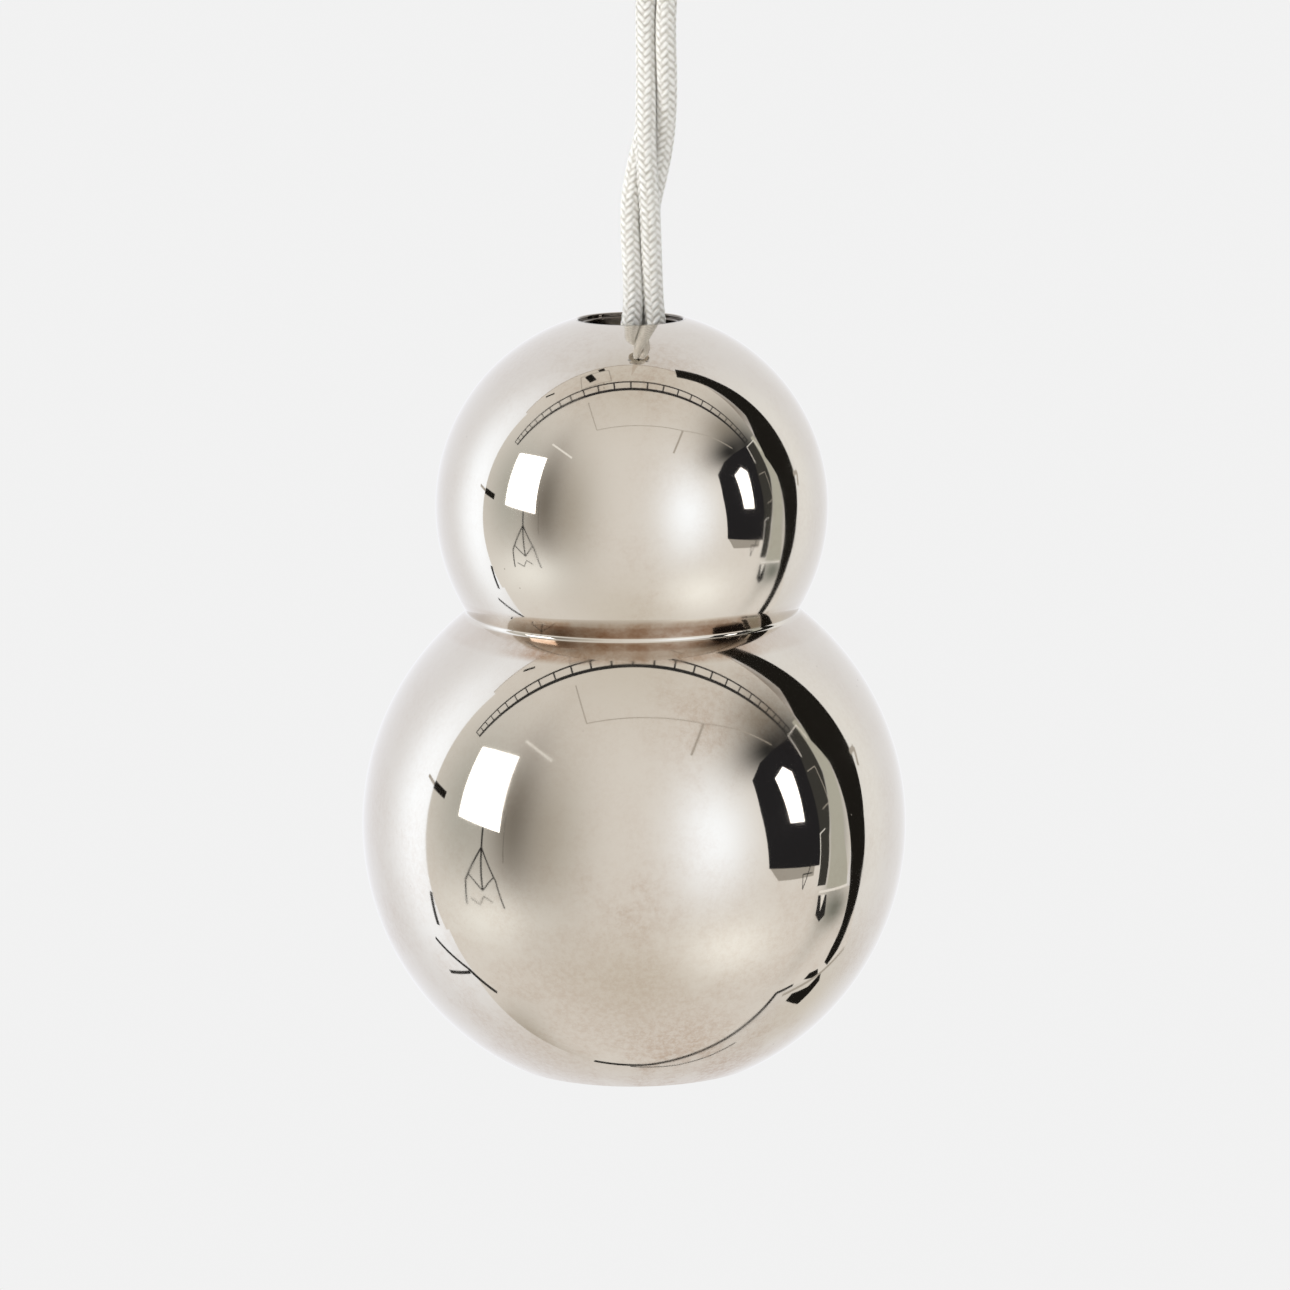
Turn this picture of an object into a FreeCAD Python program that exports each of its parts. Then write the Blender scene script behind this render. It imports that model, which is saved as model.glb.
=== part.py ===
import FreeCAD, Part
import math
import os
import re

import Sketcher

# A hanging counterweight: two nickelled balls, one on the other, hung on three falls of braided cord.
# Millimetres, +Z up. The origin is the centre of the hanging eye's hole, above the weight.
# Heights named "..._height" are measured up from the weight's flat base, on the weight's own axis.

SIZES = [
    # outside of the two balls
    ("lower_ball_dia", 140, "outside of the lower ball"),
    ("upper_ball_dia", 100, "outside of the upper ball"),
    ("ball_spacing", 82.7, "between the two ball centres"),
    ("seat_drop", 60.5, "flat base below the lower ball's centre"),
    ("mouth_dia", 26.4, "cord mouth in the top of the upper ball"),
    ("mouth_lip", 0.6, "rounding of the mouth's rim"),
    ("shell_wall", 1.5, "sheet the balls are spun from"),
    ("neck_fillet", 1, "hollow rounding between the balls"),
    # neck ring and equator sleeve
    ("spigot_length", 8, "neck ring's reach into each ball"),
    ("spigot_wall", 2, "neck ring's wall inside the balls"),
    ("sleeve_reach", 8, "equator sleeve above and below the seam"),
    ("sleeve_wall", 1.6, "equator sleeve at its ends"),
    ("fit_gap", 0.1, "between pieces that slip together"),
    ("loose_gap", 0.3, "between castings and what is round them"),
    # guide bush
    ("bush_step", 1.0, "top of the guide bush below the mouth's rim"),
    ("bush_length", 9, "guide bush from top to bottom"),
    ("bush_wall", 1.2, "guide bush at the mouth"),
    ("bush_flange", 4, "flange of the guide bush beyond the mouth"),
    ("bush_flange_thick", 2.2, "edge of that flange"),
    # ballast
    ("well_dia", 68, "well in the ballast for the sheave carriage"),
    ("well_floor_height", 34, "floor of that well"),
    ("packing_thick", 3, "felt ring between the upper casting and the neck ring"),
    ("packing_width", 12, "that ring, from inside to outside"),
    ("packing_step", 1, "that ring back from the well's edge"),
    # base bolt and carriage foot
    ("bolt_dia", 8, "base bolt"),
    ("bolt_head_dia", 16, "its countersunk head"),
    ("bolt_sink", 0.2, "head below the flat base"),
    ("bolt_grip", 11, "base bolt inside the foot"),
    ("socket_flats", 5, "hexagon socket in the head"),
    ("socket_depth", 2.6, "depth of that socket"),
    ("foot_width", 30, "carriage foot along X"),
    ("foot_rise", 14, "carriage foot along Z"),
    ("thread_gap", 0.05, "between a thread and its hole"),
    ("hole_beyond", 1, "drilled hole beyond the tip of its bolt or screw"),
    # carriage
    ("cheek_gap", 11, "between the cheek plates"),
    ("cheek_thick", 3, "cheek plate"),
    ("cheek_width", 24, "cheek plate along X"),
    ("screw_dia", 4, "cheek screw"),
    ("screw_head_dia", 7, "cheek screw's head"),
    ("screw_head_thick", 2.6, "cheek screw's head"),
    ("screw_grip", 4, "cheek screw inside the foot"),
    ("drive_flats", 3, "hexagon drive in the screw's head"),
    ("drive_depth", 1.7, "depth of that drive"),
    ("screw_spread", 15, "between the screws of one cheek"),
    ("axle_drop", 106.4, "axle below the mouth"),
    ("axle_dia", 8, "sheave axle"),
    ("axle_tail", 2.4, "axle beyond each cheek"),
    ("becket_drop", 68.4, "becket pin below the mouth"),
    ("becket_dia", 6, "becket pin"),
    ("clip_thick", 0.9, "retaining clip"),
    ("clip_bite", 0.8, "clip groove's depth"),
    ("clip_width", 2.6, "clip beyond its pin"),
    ("clip_mouth", 1.6, "clip's mouth, in radii of its hole"),
    ("washer_thick", 0.8, "thrust washer"),
    ("washer_dia", 16, "thrust washer"),
    # sheave
    ("pitch_dia", 44, "cord's centre line round the sheave"),
    ("sheave_dia", 52, "outside of the sheave"),
    ("sheave_width", 9, "rim of the sheave"),
    ("rim_land", 1, "flat on each rim edge"),
    ("sheave_bush_wall", 2.5, "bronze bush in the sheave"),
    ("hub_gap", 0.05, "running gap on the axle"),
    ("web_hole_dia", 6.4, "lightening holes in the sheave"),
    ("web_hole_ring", 25, "circle the lightening holes are on"),
    # cord and its ends
    ("cord_dia", 5.3, "braided cord"),
    ("barrel_dia", 11, "dead-end socket"),
    ("barrel_foot_drop", 60, "bottom of that socket's barrel below the mouth"),
    ("barrel_top_drop", 47.4, "top of that socket's barrel below the mouth"),
    ("cord_end_drop", 56, "dead end of the cord below the mouth"),
    ("eye_thick", 8, "dead-end socket's eye along the pin"),
    ("eye_dia", 14, "dead-end socket's eye"),
    # hanger above the weight
    ("eye_rise", 130, "hanging eye's hole above the mouth"),
    ("eye_offset", 7.2, "weight's axis to the left of the hanging eye"),
    ("hanger_hole_dia", 8.5, "hanging eye's hole"),
    ("tongue_dia", 18, "hanging eye round its hole"),
    ("tongue_width", 12, "hanging eye's stem"),
    ("tongue_thick", 6, "hanging eye along its hole"),
    ("tongue_foot_rise", 118, "bottom of the stem above the mouth"),
    ("stud_dia", 8, "hanging eye's stud"),
    ("stud_foot_rise", 101.4, "bottom of the stud above the mouth"),
    ("stud_lap", 1, "stud inside the stem it is one piece with"),
    ("nut_flats", 13, "lock nut across its flats"),
    ("nut_thick", 5, "lock nut"),
    ("cup_foot_rise", 86, "bottom of the cord socket above the mouth"),
    ("cup_top_rise", 112, "top of the cord socket above the mouth"),
    ("cup_dia", 19, "cord socket"),
    ("cup_bore", 12.8, "cord socket's cavity"),
    ("cup_roof_rise", 98.6, "cavity's roof above the mouth"),
    ("cup_edge", 0.8, "bevel of the cord socket"),
    ("grub_dia", 4, "set screw"),
    ("grub_length", 4.5, "set screw"),
    ("grub_rise", 92.5, "set screws above the mouth"),
]

# Worked out from the sizes above.
DERIVED = [
    ("lower_radius", "lower_ball_dia / 2"),
    ("upper_radius", "upper_ball_dia / 2"),
    ("lower_inside", "lower_radius - shell_wall"),
    ("upper_inside", "upper_radius - shell_wall"),
    ("ballast_radius", "lower_inside - loose_gap"),
    ("sleeve_radius", "lower_inside - fit_gap"),
    ("mouth_radius", "mouth_dia / 2"),
    ("lip_radius", "mouth_radius + mouth_lip"),
    ("upper_height", "seat_drop + ball_spacing"),
    ("lip_height", "upper_height + sqrt(upper_radius ^ 2 - lip_radius ^ 2)"),
    ("mouth_height", "upper_height + sqrt(upper_radius ^ 2 - mouth_radius ^ 2)"),
    ("base_level", "-(mouth_height + eye_rise)"),
    ("axle_height", "mouth_height - axle_drop"),
    ("becket_height", "mouth_height - becket_drop"),
    # centre of the hollow rounding between the balls, and where it meets each ball
    ("neck_arm_low", "lower_radius + neck_fillet"),
    ("neck_arm_high", "upper_radius + neck_fillet"),
    ("neck_rise", "(ball_spacing ^ 2 + neck_arm_low ^ 2 - neck_arm_high ^ 2) / (2 * ball_spacing)"),
    ("neck_reach", "sqrt(neck_arm_low ^ 2 - neck_rise ^ 2)"),
    ("neck_height", "seat_drop + neck_rise"),
    ("neck_low_radius", "neck_reach * lower_radius / neck_arm_low"),
    ("neck_low_height", "seat_drop + neck_rise * lower_radius / neck_arm_low"),
    ("neck_high_radius", "neck_reach * upper_radius / neck_arm_high"),
    ("neck_high_height", "upper_height - (ball_spacing - neck_rise) * upper_radius / neck_arm_high"),
    ("low_rim_inside", "sqrt(lower_inside ^ 2 - (neck_low_height - seat_drop) ^ 2)"),
    ("high_rim_inside", "sqrt(upper_inside ^ 2 - (upper_height - neck_high_height) ^ 2)"),
    ("spigot_radius", "min(low_rim_inside; high_rim_inside) - fit_gap"),
    ("spigot_inside", "spigot_radius - spigot_wall"),
    ("spigot_low_height", "neck_low_height - spigot_length"),
    ("spigot_high_height", "neck_high_height + spigot_length"),
    ("ballast_top_height", "spigot_low_height - packing_thick"),
    ("sleeve_end_radius", "sqrt(sleeve_radius ^ 2 - sleeve_reach ^ 2)"),
    ("sleeve_inside", "sleeve_end_radius - sleeve_wall"),
    ("belt_radius", "sleeve_inside - loose_gap"),
    ("belt_reach", "sleeve_reach + loose_gap"),
    ("belt_shoulder", "sqrt(ballast_radius ^ 2 - belt_reach ^ 2)"),
    ("well_radius", "well_dia / 2"),
    ("ballast_foot_height", "shell_wall + loose_gap"),
    ("bolt_radius", "bolt_dia / 2"),
    ("bolt_hole_radius", "bolt_radius + loose_gap"),
    ("sink_radius", "bolt_head_dia / 2 + bolt_sink + fit_gap * 2"),
    ("bush_top_height", "lip_height - bush_step"),
    ("bush_radius", "mouth_radius - fit_gap"),
    ("bush_inside", "bush_radius - bush_wall"),
    ("flange_radius", "bush_radius + bush_flange"),
    ("cheek_inside", "cheek_gap / 2"),
    ("cheek_outside", "cheek_inside + cheek_thick"),
    ("screw_height", "well_floor_height + foot_rise / 2"),
    ("packing_inside", "well_radius + packing_step"),
    ("pin_half", "cheek_outside + axle_tail"),
    ("clip_place", "cheek_outside + fit_gap"),
    ("groove_radius", "cord_dia / 2 + loose_gap"),
    ("hub_radius", "axle_dia / 2 + hub_gap"),
    ("sheave_bore", "hub_radius + sheave_bush_wall"),
]

doc = FreeCAD.newDocument("counterweight")
sheet = doc.addObject("Spreadsheet::Sheet", "dims")
rows = [(name, str(size), note) for name, size, note in SIZES]
rows += [(name, "=" + text, "worked out") for name, text in DERIVED]
for row, (name, content, note) in enumerate(rows, start=1):
    sheet.set("A%d" % row, name)
    sheet.set("B%d" % row, content)
    sheet.set("C%d" % row, note)
    sheet.setAlias("B%d" % row, name)
doc.recompute()

WEB_HOLES = 6
SET_SCREWS_AT = (90, 210, 330)
NAMES = {name for name, _, _ in rows}
ALONG_Y = FreeCAD.Rotation(FreeCAD.Vector(1, 0, 0), -90)
nodes = []


def worded(text):
    """The expression with each size's name pointed at the sheet."""
    return re.sub(r"[a-z_]+", lambda m: "dims." + m[0] if m[0] in NAMES else m[0], text)


def value(text):
    return float(sheet.evalExpression(worded(text)))


def bind(thing, place, text):
    thing.setExpression(place, worded(text))


def set_down(thing, x="0", y="0", z="0", turn=None):
    """Places a piece: x and y from the weight's axis, z up from the weight's flat base."""
    if turn:
        thing.Placement = FreeCAD.Placement(FreeCAD.Vector(), turn)
    bind(thing, "Placement.Base.x", "(%s) - eye_offset" % x)
    bind(thing, "Placement.Base.y", y)
    bind(thing, "Placement.Base.z", "base_level + (%s)" % z)
    return thing


def keep(thing, label):
    """Names a finished piece, which is then written as a node."""
    thing.Label = label
    nodes.append(thing)
    return thing


def sketch_on(body, name, role):
    sketch = body.newObject("Sketcher::SketchObject", name)
    plane = next(f for f in body.Origin.OriginFeatures if f.Role == role)
    sketch.AttachmentSupport = (plane, [""])
    sketch.MapMode = "FlatFace"
    return sketch


def end_at(sketch, edge, spot):
    """1 or 2: which end of the sketch's edge lies at the spot."""
    start = sketch.Geometry[edge].StartPoint
    finish = sketch.Geometry[edge].EndPoint
    return 1 if start.distanceToPoint(spot) < finish.distanceToPoint(spot) else 2


def hold(sketch, kind, where, text):
    """Ties a point or an edge to a size in the sheet."""
    index = sketch.addConstraint(Sketcher.Constraint(kind, *where, value(text)))
    bind(sketch, "Constraints[%d]" % index, text)


def outline(sketch, corners):
    """A closed outline. A corner is (x, y), or (x, y, radius, centre x, centre y) where an arc starts."""
    spots = [FreeCAD.Vector(value(c[0]), value(c[1]), 0) for c in corners]
    count = len(corners)
    for n, corner in enumerate(corners):
        start, finish = spots[n], spots[(n + 1) % count]
        edge = Part.LineSegment(start, finish)
        if len(corner) == 5:
            centre = FreeCAD.Vector(value(corner[3]), value(corner[4]), 0)
            middle = centre + ((start + finish) * 0.5 - centre).normalize() * value(corner[2])
            anticlockwise = (start - centre).cross(finish - centre).z > 0
            ends = (start, finish) if anticlockwise else (finish, start)
            edge = Part.ArcOfCircle(ends[0], middle, ends[1])
        sketch.addGeometry(edge, False)
    for n, corner in enumerate(corners):
        before = (n - 1) % count
        here = (n, end_at(sketch, n, spots[n]))
        there = (before, end_at(sketch, before, spots[n]))
        sketch.addConstraint(Sketcher.Constraint("Coincident", *there, *here))
        for kind, axis, text in (("DistanceX", -2, corner[0]), ("DistanceY", -1, corner[1])):
            if text == "0":
                sketch.addConstraint(Sketcher.Constraint("PointOnObject", *here, axis))
            else:
                hold(sketch, kind, (-1, 1) + here, text)
        if len(corner) == 5:
            hold(sketch, "Radius", (n,), corner[2])


def turned(name, corners):
    """A body turned about its own Z from an outline of (radius, height) corners."""
    body = doc.addObject("PartDesign::Body", name)
    sketch = sketch_on(body, name + "_profile", "XZ_Plane")
    outline(sketch, corners)
    turn = body.newObject("PartDesign::Revolution", name + "_turn")
    turn.Profile = sketch
    turn.ReferenceAxis = (sketch, ["V_Axis"])
    turn.Angle = 360
    doc.recompute()
    return body


def ring(name, inside, outside, foot, top):
    """A turned ring with square edges."""
    return turned(name, [(inside, foot), (outside, foot), (outside, top), (inside, top)])


def pocket(body, sketch, name, depth=None):
    """Cuts a sketch into the solid on the sketch plane's positive side, right through if no depth is given."""
    before = body.Shape.Volume
    cut = body.newObject("PartDesign::Pocket", name)
    cut.Profile = sketch
    cut.Reversed = True
    cut.Type = "Length" if depth else "ThroughAll"
    if depth:
        bind(cut, "Length", depth)
    doc.recompute()
    if body.Shape.Volume >= before:
        raise SystemExit(name + " cut nothing")
    return cut


def hexagon(sketch, flats):
    """A regular hexagon round the sketch's origin."""
    across = "((%s) / 2)" % flats
    point = "((%s) / sqrt(3))" % flats
    low, high = "-%s / 2" % point, "%s / 2" % point
    outline(sketch, [
        (across, low), (across, high), ("0", point),
        ("-" + across, high), ("-" + across, low), ("0", "-" + point),
    ])


def cylinder(name, radius, length, **place):
    rod = doc.addObject("Part::Cylinder", name)
    bind(rod, "Radius", radius)
    bind(rod, "Height", length)
    return set_down(rod, **place)


def block(name, width, depth, rise, x="0", y="0", z="0"):
    """A box centred on x and y, with its foot at z."""
    box = doc.addObject("Part::Box", name)
    bind(box, "Length", width)
    bind(box, "Width", depth)
    bind(box, "Height", rise)
    return set_down(box, "(%s) - (%s) / 2" % (x, width), "(%s) - (%s) / 2" % (y, depth), z)


def joined(name, *pieces):
    whole = doc.addObject("Part::MultiFuse", name)
    whole.Shapes = list(pieces)
    return whole


def less(name, base, *tools):
    """The base with each tool cut out of it."""
    for n, tool in enumerate(tools):
        cut = doc.addObject("Part::Cut", "%s_cut%d" % (name, n))
        cut.Base = base
        cut.Tool = tool
        base = cut
    return base


def group(name, pieces):
    """Identical separate pieces in one node."""
    together = doc.addObject("Part::Compound", name)
    together.Links = pieces
    return keep(together, name)


# The two balls and what joins them.
def balls():
    low_wall = ("lower_radius", "seat_drop", "lower_radius", "0", "seat_drop")
    bottom = turned("lower_shell_bottom", [
        ("sink_radius", "0"),
        ("sqrt(lower_radius ^ 2 - seat_drop ^ 2)", "0", "lower_radius", "0", "seat_drop"),
        ("lower_radius", "seat_drop"),
        ("lower_inside", "seat_drop", "lower_inside", "0", "seat_drop"),
        ("sqrt(lower_inside ^ 2 - (seat_drop - shell_wall) ^ 2)", "shell_wall"),
        ("sink_radius - shell_wall", "shell_wall"),
    ])
    top = turned("lower_shell_top", [
        low_wall,
        ("neck_low_radius", "neck_low_height"),
        ("low_rim_inside", "neck_low_height", "lower_inside", "0", "seat_drop"),
        ("lower_inside", "seat_drop"),
    ])
    sleeve = turned("equator_sleeve", [
        ("sleeve_end_radius", "seat_drop - sleeve_reach", "sleeve_radius", "0", "seat_drop"),
        ("sleeve_end_radius", "seat_drop + sleeve_reach"),
        ("sleeve_inside", "seat_drop + sleeve_reach"),
        ("sleeve_inside", "seat_drop - sleeve_reach"),
    ])
    neck = turned("neck_ring", [
        ("neck_low_radius", "neck_low_height", "neck_fillet", "neck_reach", "neck_height"),
        ("neck_high_radius", "neck_high_height"),
        ("spigot_radius", "neck_high_height"),
        ("spigot_radius", "spigot_high_height"),
        ("spigot_inside", "spigot_high_height"),
        ("spigot_inside", "spigot_low_height"),
        ("spigot_radius", "spigot_low_height"),
        ("spigot_radius", "neck_low_height"),
    ])
    upper = turned("upper_shell", [
        ("neck_high_radius", "neck_high_height", "upper_radius", "0", "upper_height"),
        ("lip_radius", "lip_height", "mouth_lip", "lip_radius", "lip_height - mouth_lip"),
        ("mouth_radius", "lip_height - mouth_lip"),
        ("mouth_radius", "upper_height + sqrt(upper_inside ^ 2 - mouth_radius ^ 2)",
         "upper_inside", "0", "upper_height"),
        ("high_rim_inside", "neck_high_height"),
    ])
    flange_seat = "upper_height + sqrt(upper_inside ^ 2 - flange_radius ^ 2) - fit_gap"
    collar_seat = "upper_height + sqrt(upper_inside ^ 2 - bush_radius ^ 2) - fit_gap"
    bush = turned("guide_bush", [
        ("bush_inside", "bush_top_height - bush_length"),
        ("bush_radius", "bush_top_height - bush_length"),
        ("bush_radius", flange_seat + " - bush_flange_thick"),
        ("flange_radius", flange_seat + " - bush_flange_thick"),
        ("flange_radius", flange_seat),
        ("bush_radius", collar_seat),
        ("bush_radius", "bush_top_height"),
        ("bush_inside", "bush_top_height"),
    ])
    for piece in (bottom, top, sleeve, neck, upper, bush):
        keep(set_down(piece), piece.Name)


# The ballast fills the lower ball round a well, and a felt ring keeps it from rattling.
def ballast():
    under = turned("ballast_bottom", [
        ("sink_radius - ballast_foot_height", "ballast_foot_height"),
        ("sqrt(ballast_radius ^ 2 - (seat_drop - ballast_foot_height) ^ 2)", "ballast_foot_height",
         "ballast_radius", "0", "seat_drop"),
        ("belt_shoulder", "seat_drop - belt_reach"),
        ("belt_radius", "seat_drop - belt_reach"),
        ("belt_radius", "seat_drop"),
        ("well_radius", "seat_drop"),
        ("well_radius", "well_floor_height"),
        ("bolt_hole_radius", "well_floor_height"),
        ("bolt_hole_radius", "sink_radius - bolt_hole_radius"),
    ])
    over = turned("ballast_top", [
        ("well_radius", "seat_drop"),
        ("belt_radius", "seat_drop"),
        ("belt_radius", "seat_drop + belt_reach"),
        ("belt_shoulder", "seat_drop + belt_reach", "ballast_radius", "0", "seat_drop"),
        ("sqrt(ballast_radius ^ 2 - (ballast_top_height - seat_drop) ^ 2)", "ballast_top_height"),
        ("well_radius", "ballast_top_height"),
    ])
    packing = ring("ballast_packing", "packing_inside", "packing_inside + packing_width",
                   "ballast_top_height", "spigot_low_height")
    for piece in (under, over, packing):
        keep(set_down(piece), piece.Name)


def base_bolt():
    bolt = turned("base_bolt", [
        ("0", "bolt_sink"),
        ("bolt_head_dia / 2", "bolt_sink"),
        ("bolt_radius", "bolt_sink + bolt_head_dia / 2 - bolt_radius"),
        ("bolt_radius", "well_floor_height + bolt_grip"),
        ("0", "well_floor_height + bolt_grip"),
    ])
    socket = sketch_on(bolt, "base_bolt_socket", "XY_Plane")
    hexagon(socket, "socket_flats")
    pocket(bolt, socket, "base_bolt_socket_cut", "bolt_sink + socket_depth")
    keep(set_down(bolt), "base_bolt")


def carriage_foot():
    foot = block("foot_block", "foot_width", "cheek_gap", "foot_rise", z="well_floor_height")
    drilled = cylinder("foot_bolt_hole", "bolt_radius + thread_gap", "bolt_grip + hole_beyond", z="well_floor_height")
    holes = [cylinder("foot_screw_hole_%s_%s" % (row, side), "screw_dia / 2 + thread_gap", "screw_grip + hole_beyond",
                      x="%d * screw_spread / 2" % row, z="screw_height",
                      y="cheek_inside - screw_grip - hole_beyond" if side > 0 else "-cheek_inside", turn=ALONG_Y)
             for row in (-1, 1) for side in (-1, 1)]
    keep(less("carriage_foot", foot, drilled, *holes), "carriage_foot")


def cheek(name, side):
    """A cheek plate: a straight strip with a round top, drilled for its screws, the axle and the becket pin."""
    body = doc.addObject("PartDesign::Body", name)
    sketch = sketch_on(body, name + "_outline", "XY_Plane")
    half, foot = "cheek_width / 2", "-(well_floor_height + fit_gap)"
    outline(sketch, [
        ("-" + half, foot), (half, foot),
        (half, "-becket_height", half, "0", "-becket_height"),
        ("0", "-(becket_height + %s)" % half, half, "0", "-becket_height"),
        ("-" + half, "-becket_height"),
    ])
    pad = body.newObject("PartDesign::Pad", name + "_pad")
    pad.Profile = sketch
    bind(pad, "Length", "cheek_thick")
    doc.recompute()
    bores = sketch_on(body, name + "_bores", "XY_Plane")
    circles = [("0", "-axle_height", "axle_dia / 2 + thread_gap"),
               ("0", "-becket_height", "becket_dia / 2 + thread_gap"),
               ("screw_spread / 2", "-screw_height", "screw_dia / 2 + fit_gap"),
               ("-screw_spread / 2", "-screw_height", "screw_dia / 2 + fit_gap")]
    for n, (x, y, radius) in enumerate(circles):
        centre = FreeCAD.Vector(value(x), value(y), 0)
        bores.addGeometry(Part.Circle(centre, FreeCAD.Vector(0, 0, 1), value(radius)), False)
        hold(bores, "Radius", (n,), radius)
        hold(bores, "DistanceY", (-1, 1, n, 3), y)
        if x == "0":
            bores.addConstraint(Sketcher.Constraint("PointOnObject", n, 3, -2))
        else:
            hold(bores, "DistanceX", (-1, 1, n, 3), x)
    pocket(body, bores, name + "_drilled")
    keep(set_down(body, y="cheek_inside" if side > 0 else "-cheek_outside", turn=ALONG_Y), name)


def cheek_screws():
    screws = []
    for row in (-1, 1):
        for side in (-1, 1):
            screw = turned("cheek_screw_%s_%s" % ("left" if row < 0 else "right", "back" if side > 0 else "front"), [
                ("0", "0"),
                ("screw_dia / 2", "0"),
                ("screw_dia / 2", "screw_grip + cheek_thick"),
                ("screw_head_dia / 2", "screw_grip + cheek_thick"),
                ("screw_head_dia / 2", "screw_grip + cheek_thick + screw_head_thick"),
                ("0", "screw_grip + cheek_thick + screw_head_thick"),
            ])
            drive = sketch_on(screw, screw.Name + "_drive", "XY_Plane")
            drive.AttachmentOffset = FreeCAD.Placement()
            bind(drive, "AttachmentOffset.Base.z", "screw_grip + cheek_thick + screw_head_thick - drive_depth")
            hexagon(drive, "drive_flats")
            doc.recompute()
            pocket(screw, drive, screw.Name + "_drive_cut")
            turn = FreeCAD.Rotation(FreeCAD.Vector(1, 0, 0), -90 * side)
            start = "cheek_inside - screw_grip"
            set_down(screw, x="%d * screw_spread / 2" % row, y="%d * (%s)" % (side, start),
                     z="screw_height", turn=turn)
            screws.append(screw)
    group("cheek_screws", screws)


def grooved_pin(name, dia, height):
    """A pin through both cheeks, with a groove for a clip beyond each."""
    radius, waist = "(%s) / 2" % dia, "(%s) / 2 - clip_bite" % dia
    low, high = "pin_half - clip_place - clip_thick - fit_gap", "pin_half - clip_place + fit_gap"
    pin = turned(name, [
        ("0", "0"),
        (radius, "0"),
        (radius, low), (waist, low), (waist, high), (radius, high),
        (radius, "2 * pin_half - (%s)" % high), (waist, "2 * pin_half - (%s)" % high),
        (waist, "2 * pin_half - (%s)" % low), (radius, "2 * pin_half - (%s)" % low),
        (radius, "2 * pin_half"),
        ("0", "2 * pin_half"),
    ])
    keep(set_down(pin, y="-pin_half", z=height, turn=ALONG_Y), name)


def clips(name, dia, height):
    """Two retaining clips, each a flat ring with a mouth to push it on by."""
    pieces = []
    for side in (-1, 1):
        tag = "%s_%s" % (name, "back" if side > 0 else "front")
        place = "clip_place" if side > 0 else "-clip_place - clip_thick"
        disc = cylinder(tag + "_disc", "(%s) / 2 + clip_width" % dia, "clip_thick",
                        y=place, z=height, turn=ALONG_Y)
        waist = "(%s) / 2 - clip_bite + fit_gap" % dia
        hole = cylinder(tag + "_hole", waist, "clip_thick", y=place, z=height, turn=ALONG_Y)
        mouth = block(tag + "_mouth", "(%s) * clip_mouth" % waist, "clip_thick", "(%s)" % dia,
                      y="%s + clip_thick / 2" % place, z="%s - (%s)" % (height, dia))
        pieces.append(less(tag, disc, hole, mouth))
    group(name, pieces)


def sheave():
    """The grooved wheel, with lightening holes round its hub."""
    middle, pitch, rim = "sheave_width / 2", "pitch_dia / 2", "sheave_dia / 2"
    wheel = turned("sheave", [
        ("sheave_bore", "0"),
        (rim, "0"),
        (rim, "rim_land"),
        (pitch, middle + " - groove_radius", "groove_radius", pitch, middle),
        (pitch + " - groove_radius", middle, "groove_radius", pitch, middle),
        (pitch, middle + " + groove_radius"),
        (rim, "sheave_width - rim_land"),
        (rim, "sheave_width"),
        ("sheave_bore", "sheave_width"),
    ])
    spot = sketch_on(wheel, "sheave_web_spot", "XY_Plane")
    centre = FreeCAD.Vector(value("web_hole_ring / 2"), 0, 0)
    spot.addGeometry(Part.Circle(centre, FreeCAD.Vector(0, 0, 1), value("web_hole_dia / 2")), False)
    hold(spot, "Radius", (0,), "web_hole_dia / 2")
    hold(spot, "DistanceX", (-1, 1, 0, 3), "web_hole_ring / 2")
    spot.addConstraint(Sketcher.Constraint("PointOnObject", 0, 3, -1))
    hole = pocket(wheel, spot, "sheave_web_hole")
    web = wheel.newObject("PartDesign::PolarPattern", "sheave_web")
    web.Originals = [hole]
    web.Axis = (spot, ["N_Axis"])
    web.Angle = 360
    web.Occurrences = WEB_HOLES
    wheel.Tip = web
    bush = ring("sheave_bush", "hub_radius", "sheave_bore", "0", "sheave_width")
    for piece in (wheel, bush):
        keep(set_down(piece, y="-sheave_width / 2", z="axle_height", turn=ALONG_Y), piece.Name)


def thrust_washers():
    pair = []
    for side, place in (("front", "-cheek_inside"), ("back", "cheek_inside - washer_thick")):
        washer = ring("thrust_washer_" + side, "hub_radius + fit_gap", "washer_dia / 2", "0", "washer_thick")
        pair.append(set_down(washer, y=place, z="axle_height", turn=ALONG_Y))
    group("thrust_washers", pair)


def dead_end_socket():
    """A barrel that grips the dead-end cord, with an eye under it on the becket pin."""
    foot, top = "mouth_height - barrel_foot_drop", "mouth_height - barrel_top_drop"
    barrel = cylinder("barrel", "barrel_dia / 2", "barrel_foot_drop - barrel_top_drop", z=foot)
    eye = cylinder("barrel_eye", "eye_dia / 2", "eye_thick", y="-eye_thick / 2", z="becket_height", turn=ALONG_Y)
    stem = block("barrel_stem", "eye_thick", "eye_thick", "becket_drop - barrel_foot_drop", z="becket_height")
    bore = cylinder("barrel_bore", "cord_dia / 2 + fit_gap", "cord_end_drop - barrel_top_drop + fit_gap",
                    z="mouth_height - cord_end_drop - fit_gap")
    pin = cylinder("barrel_pin_hole", "becket_dia / 2 + fit_gap", "eye_thick", y="-eye_thick / 2",
                   z="becket_height", turn=ALONG_Y)
    keep(less("dead_end_socket", joined("barrel_whole", barrel, eye, stem), bore, pin), "dead_end_socket")


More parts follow.
